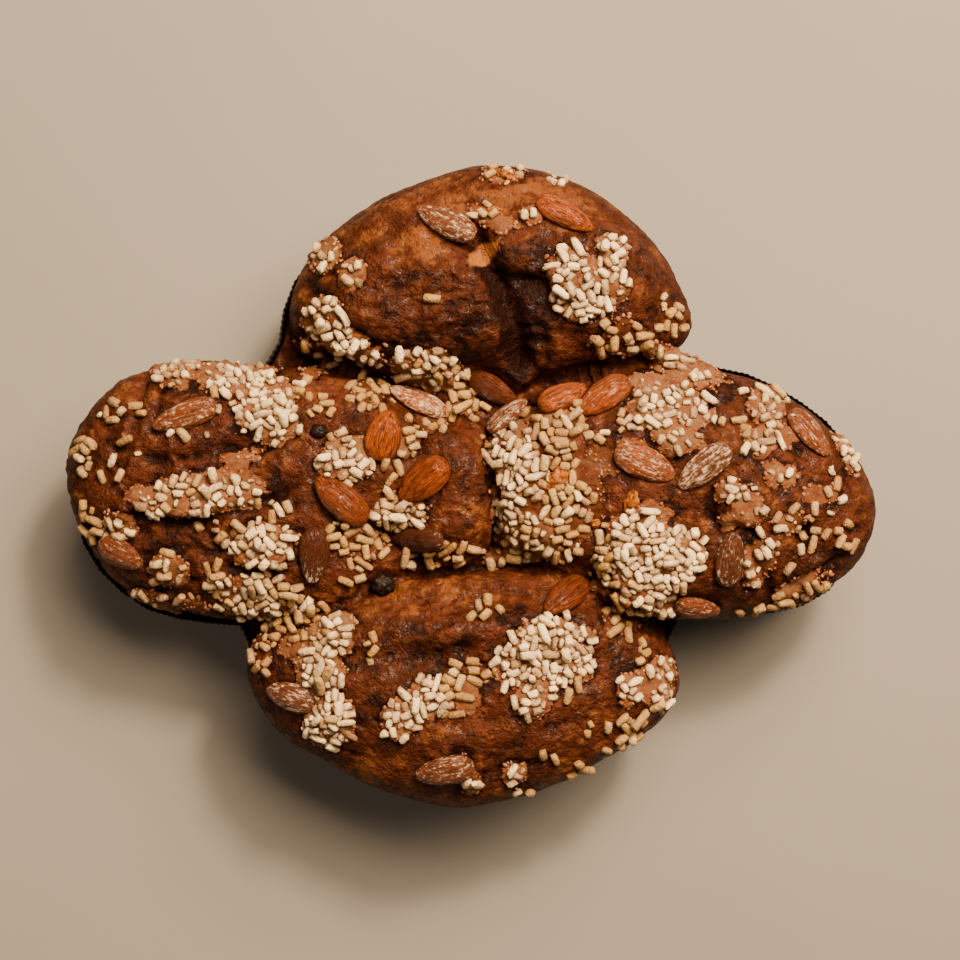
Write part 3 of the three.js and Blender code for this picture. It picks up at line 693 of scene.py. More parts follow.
def crinkles(points, drawn):
    """Broad wrinkles and a finer leather, 1 on their crests, and the relief that they make."""
    warped = points + np.column_stack([4.0 * noise_over(points, 16.0, 3.0 + k) for k in range(3)])
    wrinkles = 1.0 - 2.2 * np.abs(noise_over(warped * (1.0, 1.8, 1.0), 8.0, 5.0))
    leather = 1.0 - 2.0 * np.abs(noise_over(warped * (1.0, 1.3, 1.0), 3.9, 9.0))
    relief = (0.30 + 0.95 * drawn) * wrinkles + (0.15 + 0.34 * drawn) * leather
    return wrinkles, leather, relief


def dress_crust(skin):
    """Folds, furrows, pits and glaze on the crust, and the attributes that its material reads."""
    points = vertex_places(skin) / MM
    normals = vertex_normals(skin)
    x, y, z = points.T
    drawn = np.clip(zone_over(x, y, WRINKLED), 0.0, 1.1)
    wrinkles, leather, relief = crinkles(points, drawn)
    crumb = noise_over(points, 2.0, 2.0)
    lobes = noise_over(points, 5.4, 7.0)
    ragged = 0.6 * noise_over(points, 11.0, 12.0) + 0.75 * lobes + 0.65 * noise_over(points, 2.1, 8.0)
    furrows = furrow_depth(x, y)
    glaze, skirt, pale = glaze_cover(x, y, ragged)
    above_rim = smooth_step(RIM_HEIGHT - 2.0, RIM_HEIGHT + 1.0, z)
    glaze, skirt = glaze * above_rim, skirt * above_rim

    rise = 0.5 * noise_over(points, 24.0, 1.0) + zone_over(x, y, LUMPS) - furrows
    rise = rise + relief * (1 - 0.75 * glaze) + 0.12 * crumb
    thick = (0.25 + 0.75 * pale) * sizes().glaze_thickness / MM
    rise += glaze * (thick + 0.2 * crumb + (0.5 + 0.6 * pale) * lobes + 0.3 * leather) - 0.35 * skirt
    shown = smooth_step(RIM_HEIGHT - 6.0, RIM_HEIGHT, z)
    moved = points + normals * (rise * shown)[:, None]
    make_room(moved)
    skin.vertices.foreach_set("co", (moved * MM).ravel())

    # The crust's colour is darkened below between wrinkles, in the furrows and in the band round the glaze's
    # torn edge: painted shade.
    creased = 0.5 - 0.5 * (wrinkles * (0.4 + 0.6 * drawn) + 0.5 * leather)
    split = np.clip(zone_over(x, y, SPLITS) + 0.7 * ragged, 0, 1)
    write_attribute(skin, "glaze", glaze)
    write_attribute(skin, "pale", pale)
    # The tone zones: the oven's browning, with painted light and painted shade on the slopes.
    write_attribute(skin, "tone", zone_over(x, y, TONES))
    write_attribute(skin, "hollow_shade", np.clip(creased + furrows / 3.5 + 0.8 * skirt, 0, 1.6))
    write_attribute(skin, "split", smooth_step(0.60, 0.98, split))
    skin.update()


# ---- Almonds and raisins ---------------------------------------------------------------------------------


def solid_frame(name):
    """Middle, half sizes and axes (long, broad, thin) of a node's solid; the long axis points to its tip."""
    places = np.unique(np.round(vertex_places(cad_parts[name].data) / MM, 4), axis=0)
    centred = places - places.mean(axis=0)
    _, axes = np.linalg.eigh(centred.T @ centred)
    along, broad, thin = axes[:, 2], axes[:, 1], axes[:, 0]
    girth = np.linalg.norm(centred - np.outer(centred @ along, along), axis=1)
    if np.sum((centred @ along) * girth) > 0:
        along = -along
    thin = thin if thin[2] > 0 else -thin
    broad = np.cross(thin, along)
    axes = np.array((along, broad, thin))
    reaches = places @ axes.T
    middle = (reaches.max(axis=0) + reaches.min(axis=0)) / 2
    return middle @ axes, (reaches.max(axis=0) - reaches.min(axis=0)) / 2, axes


def almond_form(bm):
    """A unit almond along X: blunt at the back and drawn to a point in front."""
    bmesh.ops.create_uvsphere(bm, u_segments=40, v_segments=30, radius=1.0)
    bmesh.ops.rotate(bm, verts=bm.verts, cent=(0, 0, 0), matrix=Matrix.Rotation(math.pi / 2, 3, "Y"))
    for vertex in bm.verts:
        x, y, z = vertex.co
        taper = (1 - 0.18 * x - 0.1 * x * x) / 1.02
        full = (1.0 - x * x) ** -0.15 if abs(x) < 0.999 else 1.0
        point = 0.05 * max(0.0, x) ** 6
        vertex.co = Vector(((x + point - 0.025) / 1.025, y * taper * full, z * taper * full))


def make_almond(name, look, number):
    dark, frost, frosted_end, ridges = look
    middle, half, axes = solid_frame(name)
    bm = bmesh.new()
    almond_form(bm)
    own = Vector((number * 7.3, number * 3.1, 0))
    grain, frosts = [], []
    for vertex in bm.verts:
        x, y, z = (vertex.co[axis] * half[axis] for axis in range(3))
        stretched = Vector((x * 0.13, y, z))
        veins = 1.0 - 2.0 * abs(noise.noise(stretched * 0.75 + own))
        dents = noise.noise(Vector((x, y, z)) * 0.16 + own)
        fade = 1.0 - vertex.co.x ** 4
        swell_by = 1.0 + fade * (ridges * 0.06 * veins + 0.06 * dents)
        place = middle + x * axes[0] + (y * swell_by) * axes[1] + (z * swell_by) * axes[2]
        grain.append(stretched * MM + own * 0.01)
        frosts.append(frost + frosted_end * max(0.0, math.copysign(1.0, frosted_end) * vertex.co.x))
        vertex.co = Vector(place) * MM
    almond = mesh_object(name + "_skin", bm)
    skin = almond.data.attributes.new("skin", "FLOAT_VECTOR", "POINT")
    skin.data.foreach_set("vector", np.array(grain, dtype=np.float32).ravel())
    write_attribute(almond.data, "frost", np.abs(frosts))
    write_attribute(almond.data, "dark", np.full(len(frosts), dark))
    return almond


def make_raisin(name):
    middle, half, axes = solid_frame(name)
    bm = bmesh.new()
    bmesh.ops.create_icosphere(bm, subdivisions=4, radius=1.0)
    for vertex in bm.verts:
        creases = abs(noise.noise(vertex.co * 2.1 + Vector((half[0], 0, 0))))
        fine = abs(noise.noise(vertex.co * 5.0))
        shrunk = vertex.co * (0.86 + 0.34 * creases + 0.12 * fine)
        place = middle + sum(shrunk[axis] * half[axis] * axes[axis] for axis in range(3))
        vertex.co = Vector(place) * MM
    return mesh_object(name + "_skin", bm)


# ---- The paper mould -------------------------------------------------------------------------------------


def make_mould():
    """A cup of pleated paper: flutes run straight up the wall, and the base is plain."""
    pitch, depth = sizes().pleat_pitch / MM, sizes().pleat_depth / MM
    loop = rim_loop()
    around = np.sum(np.linalg.norm(np.roll(loop, -1, axis=0) - loop, axis=1))
    points, outwards = resampled(loop, round(around / pitch) * PLEAT_POINTS)
    phase = np.arange(len(points)) * math.tau / PLEAT_POINTS
    waves = 0.5 - 0.5 * np.cos(phase)
    buckle = 0.35 + 0.35 * np.array([noise.noise(Vector((px, py, 0)) * 0.05) for px, py in points])
    bm = bmesh.new()
    wall = points - outwards * (waves * depth + buckle * 0.3)[:, None]
    ring = [bm.verts.new(Vector((px, py, 0.15)) * MM) for px, py in wall]
    edges = [bm.edges.new(pair) for pair in zip(ring, ring[1:] + ring[:1])]
    base = bmesh.ops.contextual_create(bm, geom=edges)["faces"]
    bmesh.ops.recalc_face_normals(bm, faces=base)
    for height in (0.5, 16.0, 33.0, RIM_HEIGHT - 0.5):
        raised = bmesh.ops.extrude_edge_only(bm, edges=edges)["geom"]
        edges = picked(raised, bmesh.types.BMEdge)
        for vertex in picked(raised, bmesh.types.BMVert):
            vertex.co.z = height * MM
    for vertex in {v for edge in edges for v in edge.verts}:
        vertex.co.z += 0.45 * MM * noise.noise(vertex.co * 90.0)
    mould = mesh_object("mould_pleated", bm)
    paper = mould.modifiers.new("Paper", "SOLIDIFY")
    paper.thickness = PAPER * MM
    paper.offset = -1.0
    return mould


# ---- Pearl sugar -----------------------------------------------------------------------------------------


class Obstacles:
    """The crust with the almonds and raisins on it, for grains to rest against (in millimetres)."""

    def __init__(self):
        crust = bpy.data.objects.get("crust")
        if crust is None:
            raise RuntimeError("The crust comes before the sugar")
        self.corners = [Vector(p) for p in vertex_places(crust.data) / MM]
        # Only the fine skin over the foot counts: its faces stand in the same order each time.
        skin = [face for face in crust.data.polygons if face.center.z > CUT * MM and len(face.vertices) < 5]
        self.faces = [tuple(face.vertices) for face in skin]
        self.crust_faces = len(self.faces)
        for name in toppings():
            self.add(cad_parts[name].data)
        self.tree = BVHTree.FromPolygons(self.corners, self.faces)

    def add(self, mesh):
        first = len(self.corners)
        self.corners += [vertex.co / MM for vertex in mesh.vertices]
        self.faces += [tuple(first + corner for corner in face.vertices) for face in mesh.polygons]

    def under(self, x, y):
        """The crust under a place seen from above, or None where something lies on it."""
        place, normal, face, _ = self.tree.ray_cast(Vector((x, y, 200.0)), Vector((0, 0, -1)))
        if place is None or face >= self.crust_faces or place.z < RIM_HEIGHT:
            return None
        return place, normal

    def height_over(self, point):
        place, normal, _, _ = self.tree.find_nearest(Vector(point))
        return (Vector(point) - place).dot(normal), normal


def grain_length(white, rng):
    """Grains in a chalky heap are stubs, and among the loose clear ones there are longer rods."""
    kind = rng.random()
    stub = 0.64 if white > CHALKY else 0.42
    if kind < stub:
        return rng.uniform(3.5, 4.9)
    if kind < 0.95:
        return rng.uniform(4.9, 7.2)
    return rng.uniform(7.2, 10.0)


def resting_place(obstacles, heap, share, course, start, rng):
    """Throws a grain at a heap until it falls on bare crust: the crust there, or None after six throws."""
    x, y, along, across, turn = heap
    for _ in range(6):
        angle = course + rng.uniform(-0.4, 0.4)
        lobe = 1 + 0.15 * math.sin(3 * angle + start) + 0.10 * math.sin(5 * angle - 2 * start)
        out = min(1.15, math.sqrt(share) * rng.uniform(0.9, 1.12) * lobe)
        u = along * out * math.cos(angle)
        v = across * out * math.sin(angle)
        found = obstacles.under(*turned_back(u, v, (x, y), turn))
        if found:
            return found
    return None


def scatter(obstacles, rng):
    """Where the grains fall: two ends, a radius, a whiteness and a share dipped in glaze each."""
    grains = []
    for *heap, count, white, layers, _ in HEAPS:
        count = max(1, round(GENEROSITY[white > CHALKY_HEAP] * count))
        lowest = count if layers == 1 else round(LOWEST * count)
        start = rng.uniform(0, math.tau)
        for number in range(count):
            layer = 0 if number < lowest else 1
            share = (number + 0.5) / lowest
            if layer == 1:
                share = 0.55 * (number - lowest + 0.5) / (count - lowest)
            found = resting_place(obstacles, heap, share, start + number * GOLDEN_ANGLE, start, rng)
            if found:
                grains.append(fallen_grain(found, layer, white, rng))
    return grains


def fallen_grain(found, layer, white, rng):
    """A grain on the crust: most of them lie down, some stand up, and some are broken small."""
    place, normal = found
    own_white = min(1.0, max(0.0, white + rng.gauss(0, 0.22)))
    chalky = own_white > CHALKY
    radius = sizes().grain_radius / MM * rng.uniform(0.84, 1.08) * (0.92 if chalky else 1.0)
    span = grain_length(white, rng) - 2 * radius
    if rng.random() < BROKEN[chalky]:
        radius *= rng.uniform(0.55, 0.8)
        span = rng.uniform(0.2, 1.2)
    tilt = rng.uniform(50, 90) if rng.random() < STANDING else rng.uniform(-14, 14)
    bearing = rng.uniform(0, math.tau)
    sideways = normal.cross(Vector((math.cos(bearing), math.sin(bearing), 0))).normalized()
    lean = math.radians(tilt)
    direction = sideways * math.cos(lean) + normal * math.sin(lean)
    middle = place + normal * (radius * (0.8 + 1.7 * layer) + abs(math.sin(lean)) * span / 2)
    chance = DIPPED if layer == 0 else DIPPED / 3
    dipped = rng.uniform(0.5, 1.0) if rng.random() < chance else 0.0
    half = direction * max(span, 0.2) / 2
    return (*(middle - half), *(middle + half), radius, own_white, dipped)


def off_toppings(ends, obstacles):
    """Which grains lie beside the almonds and raisins, and not on top of one."""
    free = []
    for first, last in ends:
        below = [obstacles.under(x, y) for x, y, _ in (first, (first + last) / 2, last)]
        free.append(None not in below)
    return np.array(free)


def nearest_shares(first, first_way, second, second_way):
    """Where pairs of rods come closest, as shares of the way along each."""
    gap = first - second
    a = np.sum(first_way**2, axis=1)
    b = np.sum(first_way * second_way, axis=1)
    c = np.sum(first_way * gap, axis=1)
    e = np.sum(second_way**2, axis=1)
    f = np.sum(second_way * gap, axis=1)
    s = np.clip((b * f - c * e) / np.maximum(a * e - b * b, 1e-9), 0, 1)
    t = np.clip((b * s + f) / e, 0, 1)
    return np.clip((b * t - c) / a, 0, 1), t


def push_apart(ends, radii, pairs):
    """Moves overlapping grains away from each other by half of their overlap each."""
    i, j = pairs
    way_i, way_j = ends[i, 1] - ends[i, 0], ends[j, 1] - ends[j, 0]
    s, t = nearest_shares(ends[i, 0], way_i, ends[j, 0], way_j)
    gap = ends[i, 0] + way_i * s[:, None] - ends[j, 0] - way_j * t[:, None]
    distance = np.maximum(np.linalg.norm(gap, axis=1), 1e-6)
    overlap = np.maximum(0.95 * (radii[i] + radii[j]) - distance, 0)
    push = gap / distance[:, None] * (0.5 * overlap)[:, None]
    for end, share_i, share_j in ((0, 1 - s, 1 - t), (1, s, t)):
        np.add.at(ends[:, end], i, push * (0.35 + share_i)[:, None] * 0.6)
        np.add.at(ends[:, end], j, -push * (0.35 + share_j)[:, None] * 0.6)


def settle(grains, obstacles, rounds=36):
    """Lets the grains push each other apart and sink against the crust."""
    table = np.array(grains)
    ends, radii, dipped = table[:, :6].reshape(-1, 2, 3).copy(), table[:, 6], table[:, 8]
    rests = radii * (0.42 - 0.45 * dipped)
    spans = np.linalg.norm(ends[:, 1] - ends[:, 0], axis=1)
    for round_number in range(rounds):
        if round_number % 6 == 0:
            middles = ends.mean(axis=1)
            squares = sum((middles[:, None, axis] - middles[None, :, axis]) ** 2 for axis in range(3))
            pairs = np.nonzero(np.triu(squares < NEIGHBOURS**2, 1))
        push_apart(ends, radii, pairs)
        for grain, rest in zip(ends, rests):
            for end in grain:
                height, normal = obstacles.height_over(end)
                lift = rest - height
                end += np.array(normal) * max(lift, -SINK)
        middles = ends.mean(axis=1, keepdims=True)
        ways = ends - middles
        ends = middles + ways * (spans / 2 / np.linalg.norm(ways[:, 1], axis=1))[:, None, None]
    return ends, radii, table[:, 7], dipped


def grain_places(unit, ends, radius, white, rng):
    """One grain of pressed sugar: a short rod, blunt where it is clear, and rounder where it is chalky."""
    middle, way = (ends[0] + ends[1]) / 2, Vector(ends[1] - ends[0])
    half = way.length / 2 + radius
    chalky = white > CHALKY
    x, y, z = unit.T
    ring = np.maximum(np.hypot(x, y), 1e-6)
    taper, bend, flat = rng.uniform(-0.09, 0.09), rng.uniform(-0.05, 0.05), rng.uniform(0.86, 1.0)
    rough = 0.20 if chalky else 0.11
    uneven = np.array([rng.uniform(0.97 - rough, 0.97 + rough) for _ in x])
    worn = rng.uniform(0.0, 0.25) * (1.0 if chalky else 0.3)
    wide = radius * ring ** (0.40 + worn - 1.0) * (1 + taper * z) * uneven
    along = np.sign(z) * np.abs(z) ** (0.36 + worn) * half * uneven[::-1]
    local = np.column_stack((x * wide + bend * along * along, y * wide * flat, along))
    return local @ rolled(way, rng).T + middle


def make_sugar(name, chosen, settled, obstacles, rng):
    """One piece of all the chosen grains, with each grain's whiteness and the glaze on its foot."""
    ends, radii, whites, dipped = settled
    ball, unit = unit_mesh(bmesh.ops.create_uvsphere, u_segments=8, v_segments=6)
    bm = bmesh.new()
    for index in chosen:
        grain = grain_places(unit, ends[index], radii[index], whites[index], rng) * MM
        ball.vertices.foreach_set("co", grain.ravel())
        bm.from_mesh(ball)
    sugar = mesh_object(name, bm)
    places = vertex_places(sugar.data) / MM
    heights = np.array([obstacles.height_over(place)[0] for place in places])
    smear = noise_over(places, 2.6, 4.0)
    write_attribute(sugar.data, "white", np.repeat(whites[chosen], len(unit)))
    write_attribute(sugar.data, "shade", np.repeat([rng.random() for _ in chosen], len(unit)))
    foot = smooth_step(2.2, 0.2, heights + 1.4 * smear)
    bath = np.repeat(dipped[chosen], len(unit)) * smooth_step(-0.35, 0.15, smear)
    write_attribute(sugar.data, "coat", np.maximum(foot, bath))
    return sugar


# ---- Crumbs and caramel ----------------------------------------------------------------------------------


def crumb_places(unit, place, normal, size, rng):
    uneven = np.array([rng.uniform(0.7, 1.2) for _ in unit])
    squash = (size * rng.uniform(0.8, 1.5), size * rng.uniform(0.7, 1.1), size * rng.uniform(0.5, 0.9))
    return (unit * uneven[:, None] * squash) @ rolled(normal, rng).T + place + 0.15 * normal


def make_crumbs(rng):
    """Crumbs along the torn rims of the glaze, and finer ones all over it."""
    crust = bpy.data.objects["crust"].data
    cover = np.empty(len(crust.vertices), dtype=np.float32)
    crust.attributes["glaze"].data.foreach_get("value", cover)
    rims = np.nonzero((cover > 0.05) & (cover < 0.85))[0]
    patches = np.nonzero(cover >= 0.85)[0]
    places, normals = vertex_places(crust) / MM, vertex_normals(crust)
    ball, unit = unit_mesh(bmesh.ops.create_icosphere, subdivisions=1)
    bm = bmesh.new()
    shade = []
    kinds = ((rims, RIM_CRUMBS, 0.95, 0.55), (patches, PATCH_CRUMBS, 0.75, 1.0))
    for chosen, count, largest, palest in kinds:
        for index in rng.sample(list(chosen), count):
            size = 0.26 + largest * rng.random() ** 2.5
            crumb = crumb_places(unit, places[index], normals[index], size, rng) * MM
            ball.vertices.foreach_set("co", crumb.ravel())
            bm.from_mesh(ball)
            shade += [palest * rng.random()] * len(unit)
    crumbs = mesh_object("crumbs", bm)
    write_attribute(crumbs.data, "shade", shade)
    return crumbs


def make_caramel():
    """The flat crusty bits that shine orange, standing a little over the glaze."""
    obstacles = Obstacles()
    bm = bmesh.new()
    for (x, y), (along, across), turn in CARAMEL:
        place, normal = obstacles.under(x, y) or (Vector((x, y, 70)), Vector((0, 0, 1)))
        made = bmesh.ops.create_icosphere(bm, subdivisions=4, radius=1.0)["verts"]
        upright = normal.to_track_quat("Z", "Y")
        own = Vector((x, y, 0))
        for vertex in made:
            bulge = 1.0 + 0.35 * noise.noise(vertex.co * 1.3 + own)
            bulge += 0.18 * noise.noise(vertex.co * 3.5 + own)
            u, v = turned_back(along * vertex.co.x * bulge, across * vertex.co.y * bulge, (0, 0), turn)
            local = Vector((u, v, 1.7 * vertex.co.z * bulge * bulge))
            vertex.co = (upright @ local + place + normal * 0.5) * MM
    return mesh_object("caramel", bm)


# ---- Materials -------------------------------------------------------------------------------------------


# Shades that belong with the ones in the panel.
SUGAR_POWDER = (0.52, 0.31, 0.17)  # on pale glaze
OLD_SUGAR = (0.44, 0.28, 0.13)  # grains that yellowed
GLAZED_CHALK = (0.25, 0.130, 0.068)  # glaze over chalky grains
GLAZED_CREAM = (0.26, 0.120, 0.036)  # and over clear ones
VEINS = (0.035, 0.0075, 0.0025)  # in the almonds' skin
FROSTING = (0.68, 0.47, 0.31)  # sugar dusted over the almonds
RAISIN_RIDGE = (0.022, 0.009, 0.006)
RAISIN_BLOOM = (0.30, 0.22, 0.16)
BROWN_CRUMB = (0.19, 0.056, 0.014)
TAN_CRUMB = (0.27, 0.115, 0.046)
DARK_CARAMEL = (0.085, 0.018, 0.003)
BRIGHT_CARAMEL = (0.34, 0.092, 0.010)
BUTTER_STAIN = (0.016, 0.007, 0.004)  # on the paper


def with_alpha(shade):
    """A colour with the alpha that its socket wants. What comes out of another socket stays as it is."""
    return shade if isinstance(shade, bpy.types.NodeSocket) else (*shade, 1.0)


class Nodes:
    """Adds nodes to a material or group and links them by name."""

    def __init__(self, tree):
        self.tree = tree

    def add(self, kind, inputs=None, **settings):
        node = self.tree.nodes.new(kind)
        for key, value in settings.items():
            setattr(node, key, value)
        for key, value in (inputs or {}).items():
            self.feed(node.inputs[key], value)
        return node

    def feed(self, socket, value):
        if isinstance(value, bpy.types.NodeSocket):
            self.tree.links.new(value, socket)
        else:
            socket.default_value = value

    def math(self, operation, first, second=0.0):
        node = self.add("ShaderNodeMath", operation=operation)
        self.feed(node.inputs[0], first)
        self.feed(node.inputs[1], second)
        return node.outputs[0]

    def plus(self, first, second):
        return self.math("ADD", first, second)

    def less(self, first, second):
        return self.math("SUBTRACT", first, second)

    def times(self, first, second):
        return self.math("MULTIPLY", first, second)

    def spread(self, value, low, high, to_low=0.0, to_high=1.0):
        """Goes softly from to_low to to_high while the value goes from low to high."""
        limits = {"Value": value, "From Min": low, "From Max": high, "To Min": to_low, "To Max": to_high}
        return self.add("ShaderNodeMapRange", limits, interpolation_type="SMOOTHSTEP").outputs["Result"]

    def blend(self, share, first, second):
        node = self.add("ShaderNodeMix", data_type="RGBA")
        self.feed(node.inputs[0], share)
        self.feed(node.inputs[6], with_alpha(first))
        self.feed(node.inputs[7], with_alpha(second))
        return node.outputs[2]

    def bump(self, socket, height, strength, distance):
        """Lets a height stand out of the surface by up to distance metres."""
        relief = self.add("ShaderNodeBump", {"Strength": strength, "Distance": distance, "Height": height})
        self.feed(socket, relief.outputs["Normal"])

    def place(self):
        """Where each point of a piece lies, in metres."""
        return self.add("ShaderNodeTexCoord").outputs["Object"]

    def noise(self, place, wave, detail=3.0, roughness=0.55, distortion=0.0):
        """Noise from 0 to 1 with lumps of about wave metres."""
        node = self.add("ShaderNodeTexNoise", {"Vector": place, "Scale": 1.0 / wave, "Detail": detail,
                                               "Roughness": roughness, "Distortion": distortion})
        return node.outputs["Fac"]

    def creases(self, place, wave, detail, distortion, width):
        """Thin wandering lines, 1 along their middle and 0 beside them."""
        ground = self.noise(place, wave, detail, 0.5, distortion)
        return self.spread(self.math("ABSOLUTE", self.less(ground, 0.5)), width, 0.0)

    def attribute(self, name):
        return self.add("ShaderNodeAttribute", attribute_name=name).outputs["Fac"]


def new_material(name):
    material = bpy.data.materials.new(name)
    material.use_nodes = True
    nodes = Nodes(material.node_tree)
    return material, nodes, material.node_tree.nodes["Principled BSDF"]


def new_group(name, inputs, outputs):
    group = bpy.data.node_groups.new(name, "ShaderNodeTree")
    for socket, kind, default in inputs:
        made = group.interface.new_socket(socket, in_out="INPUT", socket_type=kind)
        if default is not None:
            made.default_value = default
    for socket, kind in outputs:
        group.interface.new_socket(socket, in_out="OUTPUT", socket_type=kind)
    nodes = Nodes(group)
    return group, nodes, nodes.add("NodeGroupInput").outputs, nodes.add("NodeGroupOutput").inputs


def grain_group():
    """Fine crumb: a height and a fleck mask for crust, glaze, sugar and crumbs alike."""
    found = bpy.data.node_groups.get("Fine crumb")
    if found:
        return found
    group, nodes, given, result = new_group(
        "Fine crumb",
        (("Place", "NodeSocketVector", None), ("Wave", "NodeSocketFloat", 0.001)),
        (("Height", "NodeSocketFloat"), ("Flecks", "NodeSocketFloat")),
    )
    scale = nodes.math("DIVIDE", 1.0, given["Wave"])
    at = {"Vector": given["Place"], "Scale": scale}
    coarse = nodes.add("ShaderNodeTexNoise", {**at, "Detail": 5.0, "Roughness": 0.62}).outputs["Fac"]
    cells = nodes.add("ShaderNodeTexVoronoi", at, feature="SMOOTH_F1").outputs["Distance"]
    pits = nodes.spread(cells, 0.0, 0.42)
    nodes.feed(result["Height"], nodes.plus(nodes.times(pits, 0.5), coarse))
    nodes.feed(result["Flecks"], nodes.spread(coarse, 0.56, 0.68))
    return group


def fine_crumb(nodes, place, wave):
    node = nodes.add("ShaderNodeGroup", node_tree=grain_group())
    nodes.feed(node.inputs["Place"], place)
    node.inputs["Wave"].default_value = wave
    return node.outputs["Height"], node.outputs["Flecks"]


def browned(nodes, place, toast, split):
    """The colour of the bare crust, from burnt to golden."""
    paint = colours()
    ruddy = nodes.spread(nodes.noise(place, 0.013, 3.0, 0.5, 0.4), 0.48, 0.66)
    brown = nodes.blend(nodes.times(ruddy, 0.7), paint.brown, paint.ruddy)
    crust = nodes.blend(nodes.spread(toast, 0.62, 0.86), paint.burnt, brown)
    crust = nodes.blend(nodes.spread(toast, 0.87, 1.13), crust, paint.golden)
    return nodes.blend(split, crust, paint.split)


def dried_glaze(nodes, place, glaze, pale, flecks):
    """The colour of the glaze: stained where it is thin, powdered where it is pale, and its rim."""
    paint = colours()
    film = nodes.blend(pale, paint.glaze, paint.pale_glaze)
    light = nodes.spread(nodes.noise(place, 0.0030, 4.0, 0.65), 0.56, 0.36, 0.0, 0.9)
    film = nodes.blend(light, film, paint.glaze_rim)
    thin = nodes.spread(nodes.noise(place, 0.0070, 3.0, 0.6, 0.5), 0.50, 0.64, 0.0, 0.65)
    film = nodes.blend(thin, film, paint.ruddy)
    powder = nodes.times(nodes.times(flecks, pale), 0.28)
    film = nodes.blend(powder, film, SUGAR_POWDER)
    return nodes.blend(nodes.spread(glaze, 0.40, 0.95), paint.glaze_rim, film)


def crust_material():
    material, nodes, surface = new_material("Baked crust")
    place = nodes.place()
    glaze, pale, tone, hollow_shade, split = (
        nodes.attribute(name) for name in ("glaze", "pale", "tone", "hollow_shade", "split"))
    height, flecks = fine_crumb(nodes, place, 0.0012)
    cracks = nodes.creases(place, 0.0062, 2.0, 0.5, 0.045)
    folds_in_skin = nodes.creases(place, 0.0036, 1.0, 0.4, 0.050)

    toast = nodes.times(nodes.noise(place, 0.022, 4.0, 0.6, 0.6), 0.48)
    for wave, share in ((0.0075, 0.70), (0.0028, 0.30)):
        toast = nodes.plus(toast, nodes.times(nodes.noise(place, wave, 2.0, 0.5), share))
    # The crust's colour darkens in its hollows: painted shade.
    for lighter, share in ((height, 0.17), (tone, 0.20), (hollow_shade, -0.26), (cracks, -0.05)):
        toast = nodes.plus(toast, nodes.times(lighter, share))
    film = dried_glaze(nodes, place, glaze, pale, flecks)
    cover = nodes.times(nodes.spread(glaze, 0.10, 0.40), nodes.spread(pale, 0.0, 0.3, 0.30, 1.0))
    nodes.feed(surface.inputs["Base Color"], nodes.blend(cover, browned(nodes, place, toast, split), film))

    rough = nodes.spread(nodes.noise(place, 0.0016, 4.0, 0.7), 0.36, 0.66, 0.40, 0.70)
    rough = nodes.plus(rough, nodes.times(glaze, 0.2))
    nodes.feed(surface.inputs["Roughness"], rough)
    surface.inputs["Specular IOR Level"].default_value = 0.06
    matt = nodes.times(glaze, nodes.spread(pale, 0.0, 0.6, 0.05, 0.78))
    bare = nodes.less(1.0, matt)
    syrup = nodes.spread(nodes.noise(place, 0.0050, 5.0, 0.75), 0.50, 0.66, 0.02, 0.42)
    dry = nodes.spread(hollow_shade, 0.6, 1.1, 1.0, 0.2)
    gloss = nodes.times(nodes.times(syrup, bare), dry)
    nodes.feed(surface.inputs["Coat Weight"], gloss)
    surface.inputs["Coat Roughness"].default_value = 0.17

    skin = nodes.noise(place, 0.0026, 3.0, 0.52)
    bumps = nodes.plus(nodes.times(skin, 0.9), nodes.times(height, 0.30))
    bumps = nodes.less(bumps, nodes.times(cracks, 0.09))
    bumps = nodes.less(bumps, nodes.times(folds_in_skin, 0.05))
    bumps = nodes.times(bumps, nodes.less(1.0, nodes.times(glaze, 0.60)))
    nodes.bump(surface.inputs["Normal"], bumps, 1.0, 0.0018)
    glints = nodes.plus(skin, nodes.times(nodes.noise(place, 0.0010, 2.0, 0.6), 0.30))
    nodes.bump(surface.inputs["Coat Normal"], glints, 1.0, 0.0015)
    return material


def sugar_material():
    paint = colours()
    material, nodes, surface = new_material("Pearl sugar")
    place = nodes.place()
    white, coat, shade = (nodes.attribute(name) for name in ("white", "coat", "shade"))
    height, _ = fine_crumb(nodes, place, 0.0007)
    cloudy = nodes.noise(place, 0.0022, 3.0)
    chalkiness = nodes.plus(white, nodes.times(nodes.less(cloudy, 0.5), 0.5))
    body = nodes.blend(nodes.spread(chalkiness, 0.36, 0.80), paint.cream, paint.chalk)
    body = nodes.blend(nodes.times(shade, 0.56), body, OLD_SUGAR)
    tan = nodes.blend(nodes.spread(cloudy, 0.30, 0.60), paint.pale_glaze, GLAZED_CHALK)
    tan = nodes.blend(nodes.spread(white, 0.50, 0.30), tan, GLAZED_CREAM)
    smear = nodes.times(coat, nodes.spread(cloudy, 0.2, 0.6, 0.80, 1.0))
    nodes.feed(surface.inputs["Base Color"], nodes.blend(smear, body, tan))
    nodes.feed(surface.inputs["Roughness"], nodes.spread(white, 0.2, 0.9, 0.34, 0.62))
    surface.inputs["Specular IOR Level"].default_value = 0.25
    knobs = nodes.plus(height, nodes.times(nodes.noise(place, 0.0017, 2.0), 2.2))
    nodes.bump(surface.inputs["Normal"], knobs, 0.8, 0.0006)
    return material


